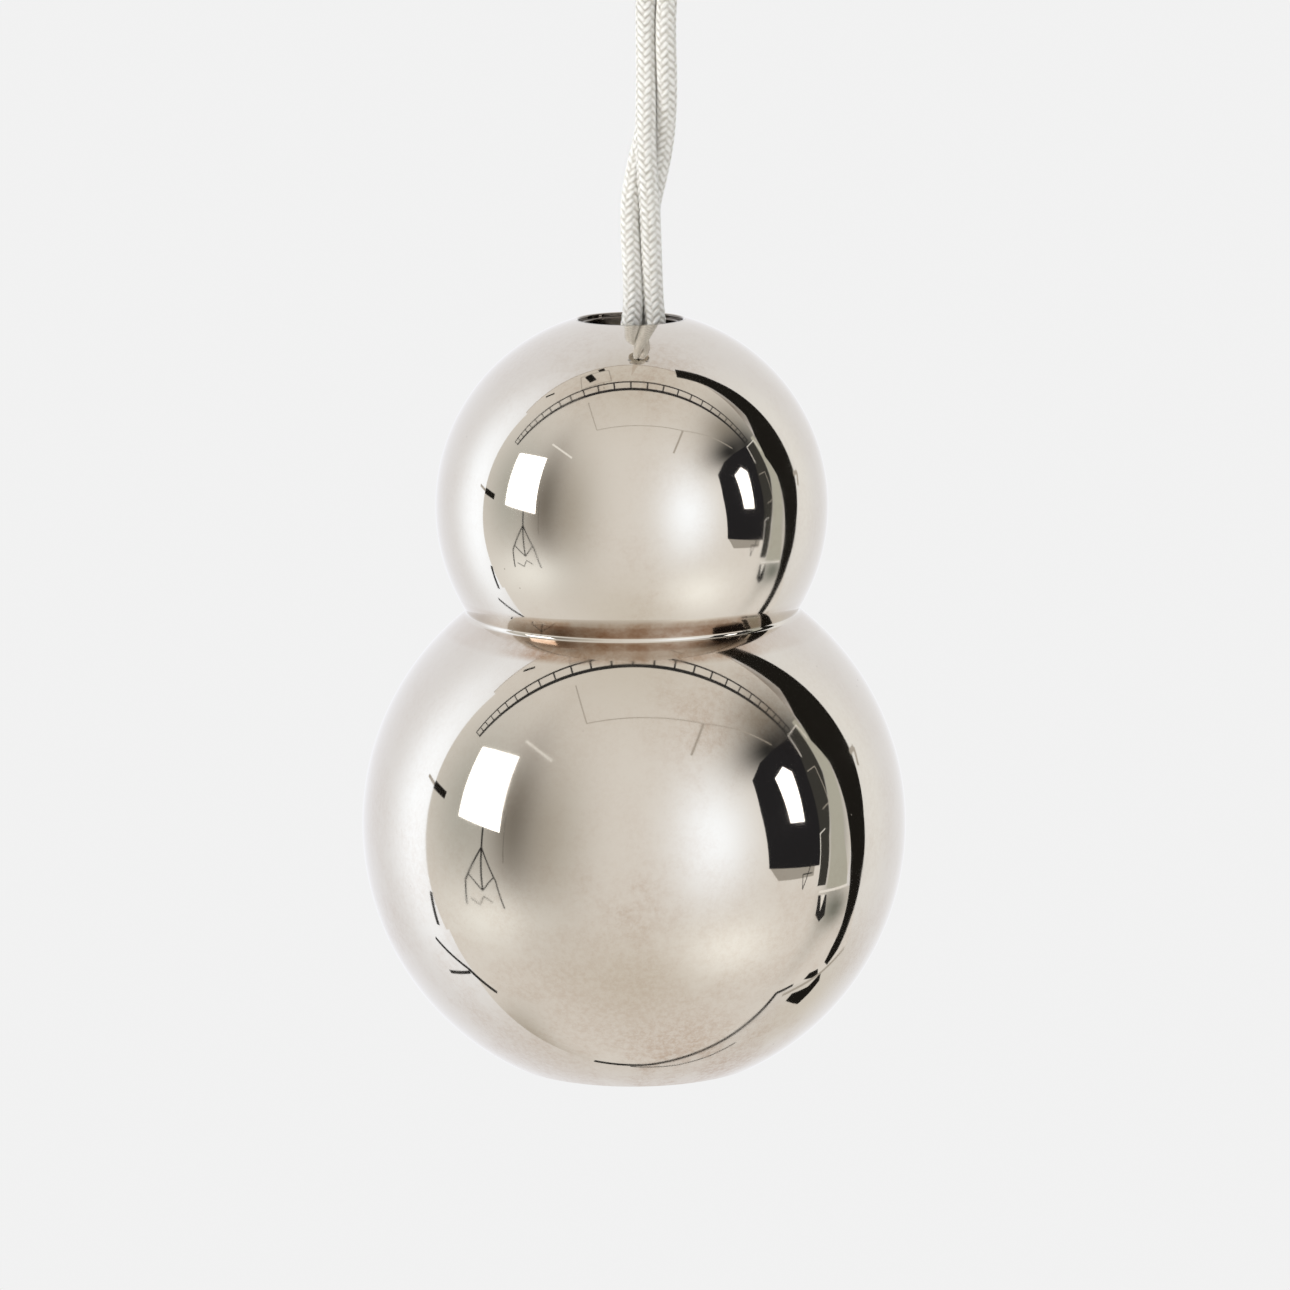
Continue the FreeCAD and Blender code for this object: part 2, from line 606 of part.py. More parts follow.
# Route of each cord: x and y from the hanging eye's axis, z from the eye's hole.
# The running cord comes down, goes under the sheave and comes up again.
RUNNING = [
    (-0.1, 3.2, -32), (-0.1, 3.2, -44), (-0.4, 3.2, -57), (-1.2, 3.1, -70), (-2.8, 3.0, -82),
    (-5.4, 2.0, -92), (-7.2, -0.1, -102), (-7.2, -1.2, -116), (-6.8, -1.6, -130),
    (-12.8, -1.2, -158), (-22.3, -0.5, -202),
    (-30.9, 0.0, -241.8), (-18.2, 0.0, -258.1), (2.45, 0.0, -258.7), (16.1, 0.0, -243.3),
    (9.8, -0.5, -202), (3.1, -1.3, -158),
    (-1.2, -1.6, -130), (-1.7, -2.0, -116), (-2.1, -2.9, -102), (-2.8, -3.4, -92),
    (-3.1, -2.8, -82), (-2.7, -2.2, -70), (-2.8, -1.8, -57), (-2.7, -1.7, -44), (-2.7, -1.7, -32),
]
DEAD_END = [
    (2.8, -1.5, -32), (2.8, -1.5, -44), (2.75, -1.35, -57), (2.7, -0.9, -70), (2.0, -0.1, -82),
    (0.4, 1.5, -92), (-2.2, 2.9, -102), (-3.7, 3.2, -116), (-4.0, 3.2, -130),
    (-5.0, 2.4, -146), (-6.6, 0.9, -163), (-7.2, 0.0, -176), (-7.2, 0.0, -186),
]
ROUND_SHEAVE = (11, 12, 13, 14)
RUN_SHARE = 0.45
SHORTEST_RUN = 0.05


def cord(name, route, round_sheave=()):
    """A tube along straight runs joined by tangent arcs, which are the sheave's size where it goes round it."""
    spots = [FreeCAD.Vector(*spot) for spot in route]
    edges, radii, at = [], [], spots[0]
    for n in range(1, len(spots) - 1):
        back, ahead = spots[n - 1] - spots[n], spots[n + 1] - spots[n]
        half_turn = (math.pi - back.getAngle(ahead)) / 2
        radius = RUN_SHARE * min(back.Length, ahead.Length) / math.tan(half_turn)
        if n in round_sheave:
            radius = value("pitch_dia / 2")
        radii.append(radius)
        reach = radius * math.tan(half_turn)
        back.normalize()
        ahead.normalize()
        start, finish = spots[n] + back * reach, spots[n] + ahead * reach
        way = (back + ahead).normalize()
        middle = spots[n] + way * (radius / math.cos(half_turn) - radius)
        if start.distanceToPoint(at) > SHORTEST_RUN:
            edges.append(Part.LineSegment(at, start).toShape())
        else:
            start = at
        edges.append(Part.Arc(start, middle, finish).toShape())
        at = finish
    edges.append(Part.LineSegment(at, spots[-1]).toShape())
    path = Part.Wire(edges)
    section = Part.Wire(Part.Circle(spots[0], spots[1] - spots[0], value("cord_dia / 2")).toShape())
    tube = path.makePipeShell([section], True, False)
    expected = math.pi * value("cord_dia / 2") ** 2 * path.Length
    print(name, "length %.1f" % path.Length, "volume ratio %.4f" % (tube.Volume / expected),
          "radii", " ".join("%.0f" % radius for radius in radii))
    piece = doc.addObject("Part::Feature", name)
    piece.Shape = tube
    keep(piece, name)


# The hanger, above the weight: a cup that grips the three cord ends, and the eye it hangs by.
def hanger(thing, z):
    """Places a hanger piece on the eye's axis, z above the weight's mouth."""
    return set_down(thing, x="eye_offset", z="mouth_height + (%s)" % z)


def cord_socket():
    height = "(cup_top_rise - cup_foot_rise)"
    cup = turned("cup", [
        ("cup_bore / 2", "0"),
        ("cup_dia / 2 - cup_edge", "0"),
        ("cup_dia / 2", "cup_edge"),
        ("cup_dia / 2", height + " - cup_edge"),
        ("cup_dia / 2 - cup_edge", height),
        ("stud_dia / 2 + thread_gap", height),
        ("stud_dia / 2 + thread_gap", "stud_foot_rise - fit_gap - cup_foot_rise"),
        ("0", "stud_foot_rise - fit_gap - cup_foot_rise"),
        ("0", "cup_roof_rise - cup_foot_rise"),
        ("cup_bore / 2", "cup_roof_rise - cup_foot_rise"),
    ])
    hanger(cup, "cup_foot_rise")
    holes, screws = [], []
    for n, angle in enumerate(SET_SCREWS_AT):
        turn = FreeCAD.Rotation(FreeCAD.Vector(0, 0, 1), angle) * FreeCAD.Rotation(FreeCAD.Vector(0, 1, 0), 90)
        across, along = math.cos(math.radians(angle)), math.sin(math.radians(angle))
        for made, tag, radius, inner in (
                (holes, "grub_hole_%d", "grub_dia / 2 + thread_gap", "cup_bore / 2 - hole_beyond"),
                (screws, "grub_%d", "grub_dia / 2", "cup_bore / 2 - fit_gap")):
            made.append(cylinder(tag % n, radius, "grub_length" if made is screws else "cup_dia / 2",
                                 x="eye_offset + %.6f * (%s)" % (across, inner), y="%.6f * (%s)" % (along, inner),
                                 z="mouth_height + grub_rise", turn=turn))
    keep(less("cord_socket", cup, *holes), "cord_socket")
    group("socket_screws", screws)


def hanging_eye():
    stud = hanger(cylinder("eye_stud", "stud_dia / 2", "tongue_foot_rise - stud_foot_rise + stud_lap"), "stud_foot_rise")
    stem = block("eye_stem", "tongue_width", "tongue_thick", "eye_rise - tongue_foot_rise",
                 x="eye_offset", z="mouth_height + tongue_foot_rise")
    head = cylinder("eye_head", "tongue_dia / 2", "tongue_thick", x="eye_offset", y="-tongue_thick / 2",
                    z="mouth_height + eye_rise", turn=ALONG_Y)
    hole = cylinder("eye_hole", "hanger_hole_dia / 2", "tongue_thick", x="eye_offset", y="-tongue_thick / 2",
                    z="mouth_height + eye_rise", turn=ALONG_Y)
    keep(less("hanging_eye", joined("eye_whole", stud, stem, head), hole), "hanging_eye")


def eye_nut():
    nut = doc.addObject("PartDesign::Body", "eye_nut")
    sketch = sketch_on(nut, "eye_nut_outline", "XY_Plane")
    hexagon(sketch, "nut_flats")
    thick = nut.newObject("PartDesign::Pad", "eye_nut_pad")
    thick.Profile = sketch
    bind(thick, "Length", "nut_thick")
    doc.recompute()
    thread = sketch_on(nut, "eye_nut_thread", "XY_Plane")
    thread.addGeometry(Part.Circle(FreeCAD.Vector(), FreeCAD.Vector(0, 0, 1), value("stud_dia / 2")), False)
    thread.addConstraint(Sketcher.Constraint("Coincident", 0, 3, -1, 1))
    hold(thread, "Radius", (0,), "stud_dia / 2 + thread_gap")
    pocket(nut, thread, "eye_nut_bore")
    keep(hanger(nut, "cup_top_rise"), "eye_nut")


balls()
ballast()
base_bolt()
carriage_foot()
cheek("cheek_front", -1)
cheek("cheek_back", 1)
cheek_screws()
grooved_pin("axle", "axle_dia", "axle_height")
clips("axle_clips", "axle_dia", "axle_height")
thrust_washers()
sheave()
grooved_pin("becket_pin", "becket_dia", "becket_height")
clips("becket_clips", "becket_dia", "becket_height")
dead_end_socket()
cord("cord_running", RUNNING, ROUND_SHEAVE)
cord("cord_dead_end", DEAD_END)
cord_socket()
hanging_eye()
eye_nut()
doc.recompute()

faults = [thing.Name for thing in doc.Objects if {"Invalid", "Error"} & set(thing.State)]
faults += [node.Label for node in nodes if node.Shape.isNull() or not node.Shape.isValid()]
if faults:
    raise SystemExit("failed: " + ", ".join(faults))

os.makedirs("parts", exist_ok=True)
for node in nodes:
    node.Shape.exportStep("parts/%s.step" % node.Label)
    print(node.Label, len(node.Shape.Solids), "%.0f mm3" % node.Shape.Volume)
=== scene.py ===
import math

import bmesh
import bpy
import numpy as np
from mathutils import Matrix, Vector


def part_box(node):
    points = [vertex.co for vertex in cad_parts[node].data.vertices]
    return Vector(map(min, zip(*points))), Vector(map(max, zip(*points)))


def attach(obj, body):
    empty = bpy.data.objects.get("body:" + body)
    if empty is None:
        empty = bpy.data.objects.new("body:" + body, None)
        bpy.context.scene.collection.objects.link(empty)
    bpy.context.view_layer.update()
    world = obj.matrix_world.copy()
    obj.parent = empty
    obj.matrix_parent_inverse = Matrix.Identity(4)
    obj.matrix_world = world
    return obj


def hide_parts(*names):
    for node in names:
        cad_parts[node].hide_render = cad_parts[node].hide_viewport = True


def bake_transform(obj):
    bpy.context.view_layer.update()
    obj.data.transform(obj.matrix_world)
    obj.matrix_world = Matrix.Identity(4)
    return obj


# A hanging counterweight: two nickelled balls, one on the other, hung on three falls of braided cord.
# Metres, +Z up. The origin is the centre of the hanging eye's hole, above the weight.

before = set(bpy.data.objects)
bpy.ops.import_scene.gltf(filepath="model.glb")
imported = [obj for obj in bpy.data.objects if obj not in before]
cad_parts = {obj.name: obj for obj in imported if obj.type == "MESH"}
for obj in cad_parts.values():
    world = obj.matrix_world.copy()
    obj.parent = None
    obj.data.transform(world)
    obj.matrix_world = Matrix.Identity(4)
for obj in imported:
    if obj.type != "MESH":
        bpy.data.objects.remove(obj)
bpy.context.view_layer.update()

MM = 0.001
AXIS_X = -7.2 * MM  # the weight's own axis
BASE_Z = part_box("lower_shell_bottom")[0][2]  # its flat base

# The balls, from the flat base up.
LOWER_RADIUS = 70.0
UPPER_RADIUS = 50.0
WALL = 1.5
LOWER_HEIGHT = 60.5
UPPER_HEIGHT = LOWER_HEIGHT + 82.7
MOUTH_RADIUS = 13.2
LIP = 0.6
NECK_FILLET = 1.0
SLIP = 0.1  # between pieces that slip together
BOLT_HOLE_RADIUS = 8.4
BOLT_HOLE_EDGE = 6.0  # flat ring round the bolt's hole before the base's own points start
SPIGOT_REACH = 8.0
SPIGOT_WALL = 2.0
BUSH_STEP = 1.0
BUSH_LENGTH = 9.0
BUSH_WALL = 1.2
FLANGE = 4.0
FLANGE_THICK = 2.2
NECK_BAND_HEIGHT = 116.4  # the middle of the neck's brown band, tarnish film and painted reflection
PALE = (0.884, 0.884, 0.884)  # floor and world


# ---------------------------------------------------------------- camera

def make_camera():
    """A little above the weight, looking down at it, with a very slight lean."""
    camera = bpy.data.objects.new("camera", bpy.data.cameras.new("camera"))
    bpy.context.scene.collection.objects.link(camera)
    camera.data.lens = 131.9
    camera.data.sensor_width = 36
    camera.data.clip_start = 0.05
    camera.data.clip_end = 60
    look_down = math.radians(11.07)
    lean = math.radians(-0.4)
    camera.matrix_world = (
        Matrix.Translation((AXIS_X + 3.1 * MM, -1.1886, 0.0182))
        @ Matrix.Rotation(math.pi / 2 - look_down, 4, "X")
        @ Matrix.Rotation(lean, 4, "Z")
    )
    bpy.context.scene.camera = camera


# ---------------------------------------------------------------- mesh helpers

def link(name, mesh):
    piece = bpy.data.objects.new(name, mesh)
    bpy.context.scene.collection.objects.link(piece)
    return piece


def grid_faces(rows, columns, closed_rows=False, closed_columns=True, first=0):
    """Quads over a rows x columns grid of points."""
    down = np.arange(rows if closed_rows else rows - 1)
    over = np.arange(columns if closed_columns else columns - 1)
    r, c = np.meshgrid(down, over, indexing="ij")
    r2, c2 = (r + 1) % rows, (c + 1) % columns
    quads = np.stack([r * columns + c, r * columns + c2, r2 * columns + c2, r2 * columns + c], axis=-1)
    return quads.reshape(-1, 4) + first


def quad_mesh(name, points, quads):
    mesh = bpy.data.meshes.new(name)
    mesh.vertices.add(len(points))
    mesh.vertices.foreach_set("co", np.asarray(points, np.float32).ravel())
    mesh.loops.add(len(quads) * 4)
    mesh.loops.foreach_set("vertex_index", np.asarray(quads, np.int32).ravel())
    mesh.polygons.add(len(quads))
    mesh.polygons.foreach_set("loop_start", np.arange(len(quads), dtype=np.int32) * 4)
    mesh.polygons.foreach_set("loop_total", np.full(len(quads), 4, np.int32))
    mesh.update(calc_edges=True)
    mesh.validate()
    mesh.shade_smooth()
    return mesh


def arc(centre_radius, centre_height, radius, start, finish, steps):
    """Points along an arc of the outline, closer together at its two ends.

    Angles are in degrees from the outward side.
    """
    span = finish - start
    shares = [0, 0.002, 0.006] + [n / steps for n in range(1, steps)] + [0.994, 0.998, 1]
    turns = [math.radians(start + span * share) for share in shares]
    return [(centre_radius + radius * math.cos(t), centre_height + radius * math.sin(t)) for t in turns]


def turned(name, outline, sides=300, crease=28):
    """A closed outline of (radius, height above the base) in mm, turned about the weight's axis."""
    around = np.linspace(0, 2 * math.pi, sides, endpoint=False)
    radius = np.array([p[0] for p in outline])[:, None] * MM
    height = np.array([p[1] for p in outline])[:, None] * MM + BASE_Z
    across, deep = radius * np.cos(around) + AXIS_X, radius * np.sin(around)
    points = np.stack([across, deep, height + 0 * around], axis=-1)
    mesh = quad_mesh(name, points.reshape(-1, 3), grid_faces(len(outline), sides, closed_rows=True))
    shape = bmesh.new()
    shape.from_mesh(mesh)
    bmesh.ops.recalc_face_normals(shape, faces=shape.faces)
    shape.to_mesh(mesh)
    shape.free()
    mesh.set_sharp_from_angle(angle=math.radians(crease))
    return link(name, mesh)


# ---------------------------------------------------------------- cords

# Control points of each cord's line: x and y from the hanging eye's axis, z from the eye's hole, in mm.
# The running cord comes down, goes under the sheave and comes up again.
RUNNING = [
    (-0.1, 3.2, -32), (-0.1, 3.2, -44), (-0.4, 3.2, -57), (-1.2, 3.1, -70), (-2.8, 3.0, -82),
    (-5.4, 2.0, -92), (-7.2, -0.1, -102), (-6.6, -1.2, -116), (-6.2, -1.6, -130),
    (-12.8, -1.2, -158), (-22.3, -0.5, -202),
    (-30.9, 0.0, -241.8), (-18.2, 0.0, -258.1), (2.45, 0.0, -258.7), (16.1, 0.0, -243.3),
    (9.8, -0.5, -202), (3.1, -1.3, -158),
    (-1.25, -1.6, -130), (-1.7, -2.0, -116), (-2.1, -2.9, -102), (-2.8, -3.4, -92),
    (-3.1, -2.8, -82), (-2.7, -2.2, -70), (-2.8, -1.8, -57), (-2.7, -1.7, -44), (-2.7, -1.7, -32),
]
DEAD_END = [
    (2.8, -1.5, -32), (2.8, -1.5, -44), (2.0, -3.9, -57), (2.4, -3.3, -70), (2.0, -0.3, -82),
    (0.4, 1.5, -92), (-2.2, 2.9, -102), (-3.7, 3.2, -116), (-4.0, 3.2, -130),
    (-5.0, 2.4, -146), (-6.6, 0.9, -163), (-7.2, 0.0, -176), (-7.2, 0.0, -186),
]
RUNNING_LENGTH = 482.5
DEAD_END_LENGTH = 155.0

CARRIERS = 8  # strands laid each way round
LAY = 15.4  # height of one turn of a strand
STRAND_HALF_WIDTH = 0.72
STRAND_HALF_THICK = 0.25
OVER_RADIUS = 2.44
UNDER_RADIUS = 2.13
CORE_RADIUS = 1.95
CORE_SIDES = 20
SLANT_RADIUS = 2.3  # where a strand's slant and width are measured
EDGE_DIP = 0.06  # a strand's edges below its middle
STEP = 0.32  # between the sections of a strand
SQUARENESS = 1.6  # how flat a strand runs between its crossings


def smooth_line(name, route):
    """Points along the NURBS line whose control points are the route's."""
    curve = bpy.data.curves.new(name, "CURVE")
    curve.dimensions = "3D"
    curve.resolution_u = 24
    spline = curve.splines.new("NURBS")
    spline.points.add(len(route) - 1)
    for point, spot in zip(spline.points, route):
        point.co = (spot[0] * MM, spot[1] * MM, spot[2] * MM, 1)
    spline.order_u = 3
    spline.use_endpoint_u = True
    holder = link(name, curve)
    mesh = bpy.data.meshes.new_from_object(holder)
    points = np.array([vertex.co for vertex in mesh.vertices])
    bpy.data.objects.remove(holder)
    bpy.data.curves.remove(curve)
    bpy.data.meshes.remove(mesh)
    return points


def evenly(points, gap):
    """The same line in even steps, with its direction and two directions across it that never twist."""
    legs = np.linalg.norm(np.diff(points, axis=0), axis=1)
    along = np.concatenate([[0], np.cumsum(legs)])
    count = int(round(along[-1] / gap)) + 1
    at = np.linspace(0, along[-1], count)
    spots = np.stack([np.interp(at, along, points[:, axis]) for axis in range(3)], axis=1)
    width = 5  # evens out the small corners between the line's own points
    padded = np.pad(spots, ((width, width), (0, 0)), mode="reflect", reflect_type="odd")
    kernel = np.ones(2 * width + 1) / (2 * width + 1)
    spots = np.stack([np.convolve(padded[:, axis], kernel, mode="valid") for axis in range(3)], axis=1)
    ahead = np.gradient(spots, axis=0)
    ahead /= np.linalg.norm(ahead, axis=1)[:, None]
    side = np.zeros_like(spots)
    first = np.cross(ahead[0], (0, 1, 0))
    side[0] = first / np.linalg.norm(first)
    for n in range(1, count):
        kept = side[n - 1] - ahead[n] * side[n - 1].dot(ahead[n])
        side[n] = kept / np.linalg.norm(kept)
    return at, spots, side, np.cross(ahead, side)


def braid(name, route):
    """Sixteen flat strands, eight each way, each over two and under two, round a plain core."""
    line = smooth_line(name + "_line", route)
    at, spots, side, up = evenly(line, STEP * MM)
    turn = at / (LAY * MM) * 2 * math.pi
    count = len(at)
    section = [(-1, 0.0), (-0.72, 0.75), (0, 1.0), (0.72, 0.75), (1, 0.0), (0.55, -0.8), (-0.55, -0.8)]
    blocks, quads, across, crown, first = [], [], [], [], 0
    for way in (1, -1):
        for n in range(CARRIERS):
            angle = way * turn + 2 * math.pi * n / CARRIERS
            # where this strand is in its over-two, under-two round; its crossings are a quarter apart
            quarter = angle * CARRIERS / math.pi
            wave = np.sin(math.pi / 2 * (quarter + 0.5)) * way
            lift = np.tanh(SQUARENESS * wave) / math.tanh(SQUARENESS)
            middle = (OVER_RADIUS + UNDER_RADIUS) / 2 + (OVER_RADIUS - UNDER_RADIUS) / 2 * lift
            slope = math.atan2(2 * math.pi * SLANT_RADIUS, LAY) * way
            # a strand's width is square to its own slanting line
            widen_round = STRAND_HALF_WIDTH * math.cos(slope) / SLANT_RADIUS
            widen_along = -STRAND_HALF_WIDTH * math.sin(slope)
            ring = []
            for wide, thick in section:
                theta = angle + wide * widen_round
                drop = wide * widen_along * MM
                radius = (middle + thick * STRAND_HALF_THICK - EDGE_DIP * abs(wide)) * MM
                shift = np.interp(at + drop, at, at) - at
                base = spots + (np.cross(side, up) * shift[:, None])
                ring.append(base + side * (radius * np.cos(theta))[:, None]
                            + up * (radius * np.sin(theta))[:, None])
            block = np.stack(ring, axis=1)
            blocks.append(block.reshape(-1, 3))
            quads.append(grid_faces(count, len(section), first=first))
            first += count * len(section)
            across.append(np.tile([(wide + 1) / 2 for wide, _ in section], count))
            # painted light and shade: each strand lighter on its crown and where it rides over, darker at its
            # edges and where it dives under
            crown.append(np.outer(0.5 + 0.5 * lift, [1 - 0.75 * abs(wide) for wide, _ in section]).ravel())
    around = np.linspace(0, 2 * math.pi, CORE_SIDES, endpoint=False)[None, :, None]
    core = spots[::4, None, :] + CORE_RADIUS * MM * (
        side[::4, None, :] * np.cos(around) + up[::4, None, :] * np.sin(around))
    blocks.append(core.reshape(-1, 3))
    quads.append(grid_faces(core.shape[0], CORE_SIDES, first=first))
    # the core is painted darkest, as shade between the strands
    across.append(np.zeros(core.shape[0] * CORE_SIDES))
    crown.append(np.zeros(core.shape[0] * CORE_SIDES))
    mesh = quad_mesh(name, np.concatenate(blocks), np.concatenate(quads))
    for label, values in (("strand_across", across), ("strand_painted_light", crown)):
        layer = mesh.attributes.new(label, "FLOAT", "POINT")
        layer.data.foreach_set("value", np.concatenate(values).astype(np.float32))
    return link(name, mesh), line


def make_cords(finish):
    for name, node, route, length in (
            ("running_cord_braid", "cord_running", RUNNING, RUNNING_LENGTH),
            ("dead_end_cord_braid", "cord_dead_end", DEAD_END, DEAD_END_LENGTH)):
        cord, line = braid(name, route)
        cord.data.materials.append(finish)
        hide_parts(node)
        tuple(line[-1] if node == "cord_dead_end" else line[0])
        [tuple(p) for p in line]
        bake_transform(cord)


# ---------------------------------------------------------------- materials

def new_material(name):
    material = bpy.data.materials.new(name)
    material.use_nodes = True
    tree = material.node_tree
    return material, tree, tree.nodes["Principled BSDF"]


def metal(name, colour, roughness, wear=0.25, scale=220):
    """A plain worked metal, with uneven polish and small dark specks."""
    material, tree, shader = new_material(name)
    place = tree.nodes.new("ShaderNodeTexCoord")
    patches = tree.nodes.new("ShaderNodeTexNoise")
    patches.inputs["Scale"].default_value = scale
    patches.inputs["Detail"].default_value = 6
    tree.links.new(place.outputs["Object"], patches.inputs["Vector"])
    shade = tree.nodes.new("ShaderNodeMix")
    shade.data_type = "RGBA"
    shade.inputs["A"].default_value = (*[c * (1 - wear) for c in colour], 1)
    shade.inputs["B"].default_value = (*colour, 1)
    tree.links.new(patches.outputs["Fac"], shade.inputs["Factor"])
    tree.links.new(shade.outputs["Result"], shader.inputs["Base Color"])
    polish = tree.nodes.new("ShaderNodeMapRange")
    polish.inputs["To Min"].default_value = roughness * 0.7
    polish.inputs["To Max"].default_value = roughness * 1.4
    tree.links.new(patches.outputs["Fac"], polish.inputs["Value"])
    tree.links.new(polish.outputs["Result"], shader.inputs["Roughness"])
    shader.inputs["Metallic"].default_value = 1
    return material


def fill(tree, socket, value):
    """Links a node socket to this one, or sets it to a plain value."""
    if isinstance(value, bpy.types.NodeSocket):
        tree.links.new(value, socket)
    else:
        socket.default_value = value


def add(tree, kind, **sockets):
    """A node with its sockets filled."""
    node = tree.nodes.new(kind)
    for name, value in sockets.items():
        fill(tree, node.inputs[name.replace("_", " ")], value)
    return node


def sums(tree, operation, *values):
    node = tree.nodes.new("ShaderNodeMath")
    node.operation = operation
    for socket, value in zip(node.inputs, values):
        fill(tree, socket, value)
    return node.outputs[0]


def blended(tree, share, first, second):
    """A colour between two others."""
    node = tree.nodes.new("ShaderNodeMix")
    node.data_type = "RGBA"
    for socket, value in zip((node.inputs[0], node.inputs[6], node.inputs[7]), (share, first, second)):
        fill(tree, socket, value)
    return node.outputs[2]


def ranged(tree, value, low, high, to_low=0.0, to_high=1.0):
    """The value carried smoothly from one range to another."""
    node = tree.nodes.new("ShaderNodeMapRange")
    node.interpolation_type = "SMOOTHSTEP"
    for socket, number in zip(list(node.inputs)[1:5], (low, high, to_low, to_high)):
        socket.default_value = number
    tree.links.new(value, node.inputs[0])
    return node.outputs[0]


def silk_cord():
    """White silky braid, with a painted highlight on each stitch's crown, painted warm grey shade where it
    dives, and painted shade in the grooves between its yarns.
    """
    material, tree, shader = new_material("silky_white_braid")
    across = tree.nodes.new("ShaderNodeAttribute")
    across.attribute_name = "strand_across"
    crown = tree.nodes.new("ShaderNodeAttribute")
    crown.attribute_name = "strand_painted_light"
    ridge = sums(tree, "SINE", sums(tree, "MULTIPLY", across.outputs["Fac"], 4 * 2 * math.pi))
    place = tree.nodes.new("ShaderNodeTexCoord").outputs["Object"]
    fuzz = add(tree, "ShaderNodeTexNoise", Vector=place, Scale=900.0, Detail=4.0).outputs["Fac"]
    lit = sums(tree, "ADD", crown.outputs["Fac"], ranged(tree, fuzz, 0.3, 0.7, -0.2, 0.2))
    shade = ranged(tree, lit, 0.10, 0.95)
    # painted shade and highlight: warm grey where the strands dive, near white on their crowns
    yarn_lit_and_shaded = blended(tree, shade, (0.60, 0.575, 0.52, 1), (0.95, 0.945, 0.92, 1))
    # painted shade in the grooves between each strand's yarns
    yarn_grooves_shaded = blended(tree, ranged(tree, ridge, -1, 0.2, 0.40, 0.0), yarn_lit_and_shaded, (0.60, 0.57, 0.51, 1))
    tree.links.new(yarn_grooves_shaded, shader.inputs["Base Color"])
    shader.inputs["Roughness"].default_value = 0.38
    shader.inputs["Sheen Weight"].default_value = 0.15
    bump = add(tree, "ShaderNodeBump", Height=ridge, Distance=0.00006, Strength=0.8)
    tree.links.new(bump.outputs["Normal"], shader.inputs["Normal"])
    return material


# where handling and age have left the film thickest: a spot, how far it reaches, and how thick it is
WORN_SPOTS = [
    ((-0.008, -0.069, -0.266), 0.026, 0.60), ((0.004, -0.040, -0.315), 0.050, 0.90),
    ((0.015, -0.055, -0.222), 0.040, 0.50), ((-0.007, -0.032, -0.140), 0.034, 0.50),
    ((-0.007, -0.050, -0.193), 0.034, 0.30),
    ((-0.045, 0.045, -0.290), 0.045, 0.60), ((0.040, 0.040, -0.250), 0.040, 0.50),
]


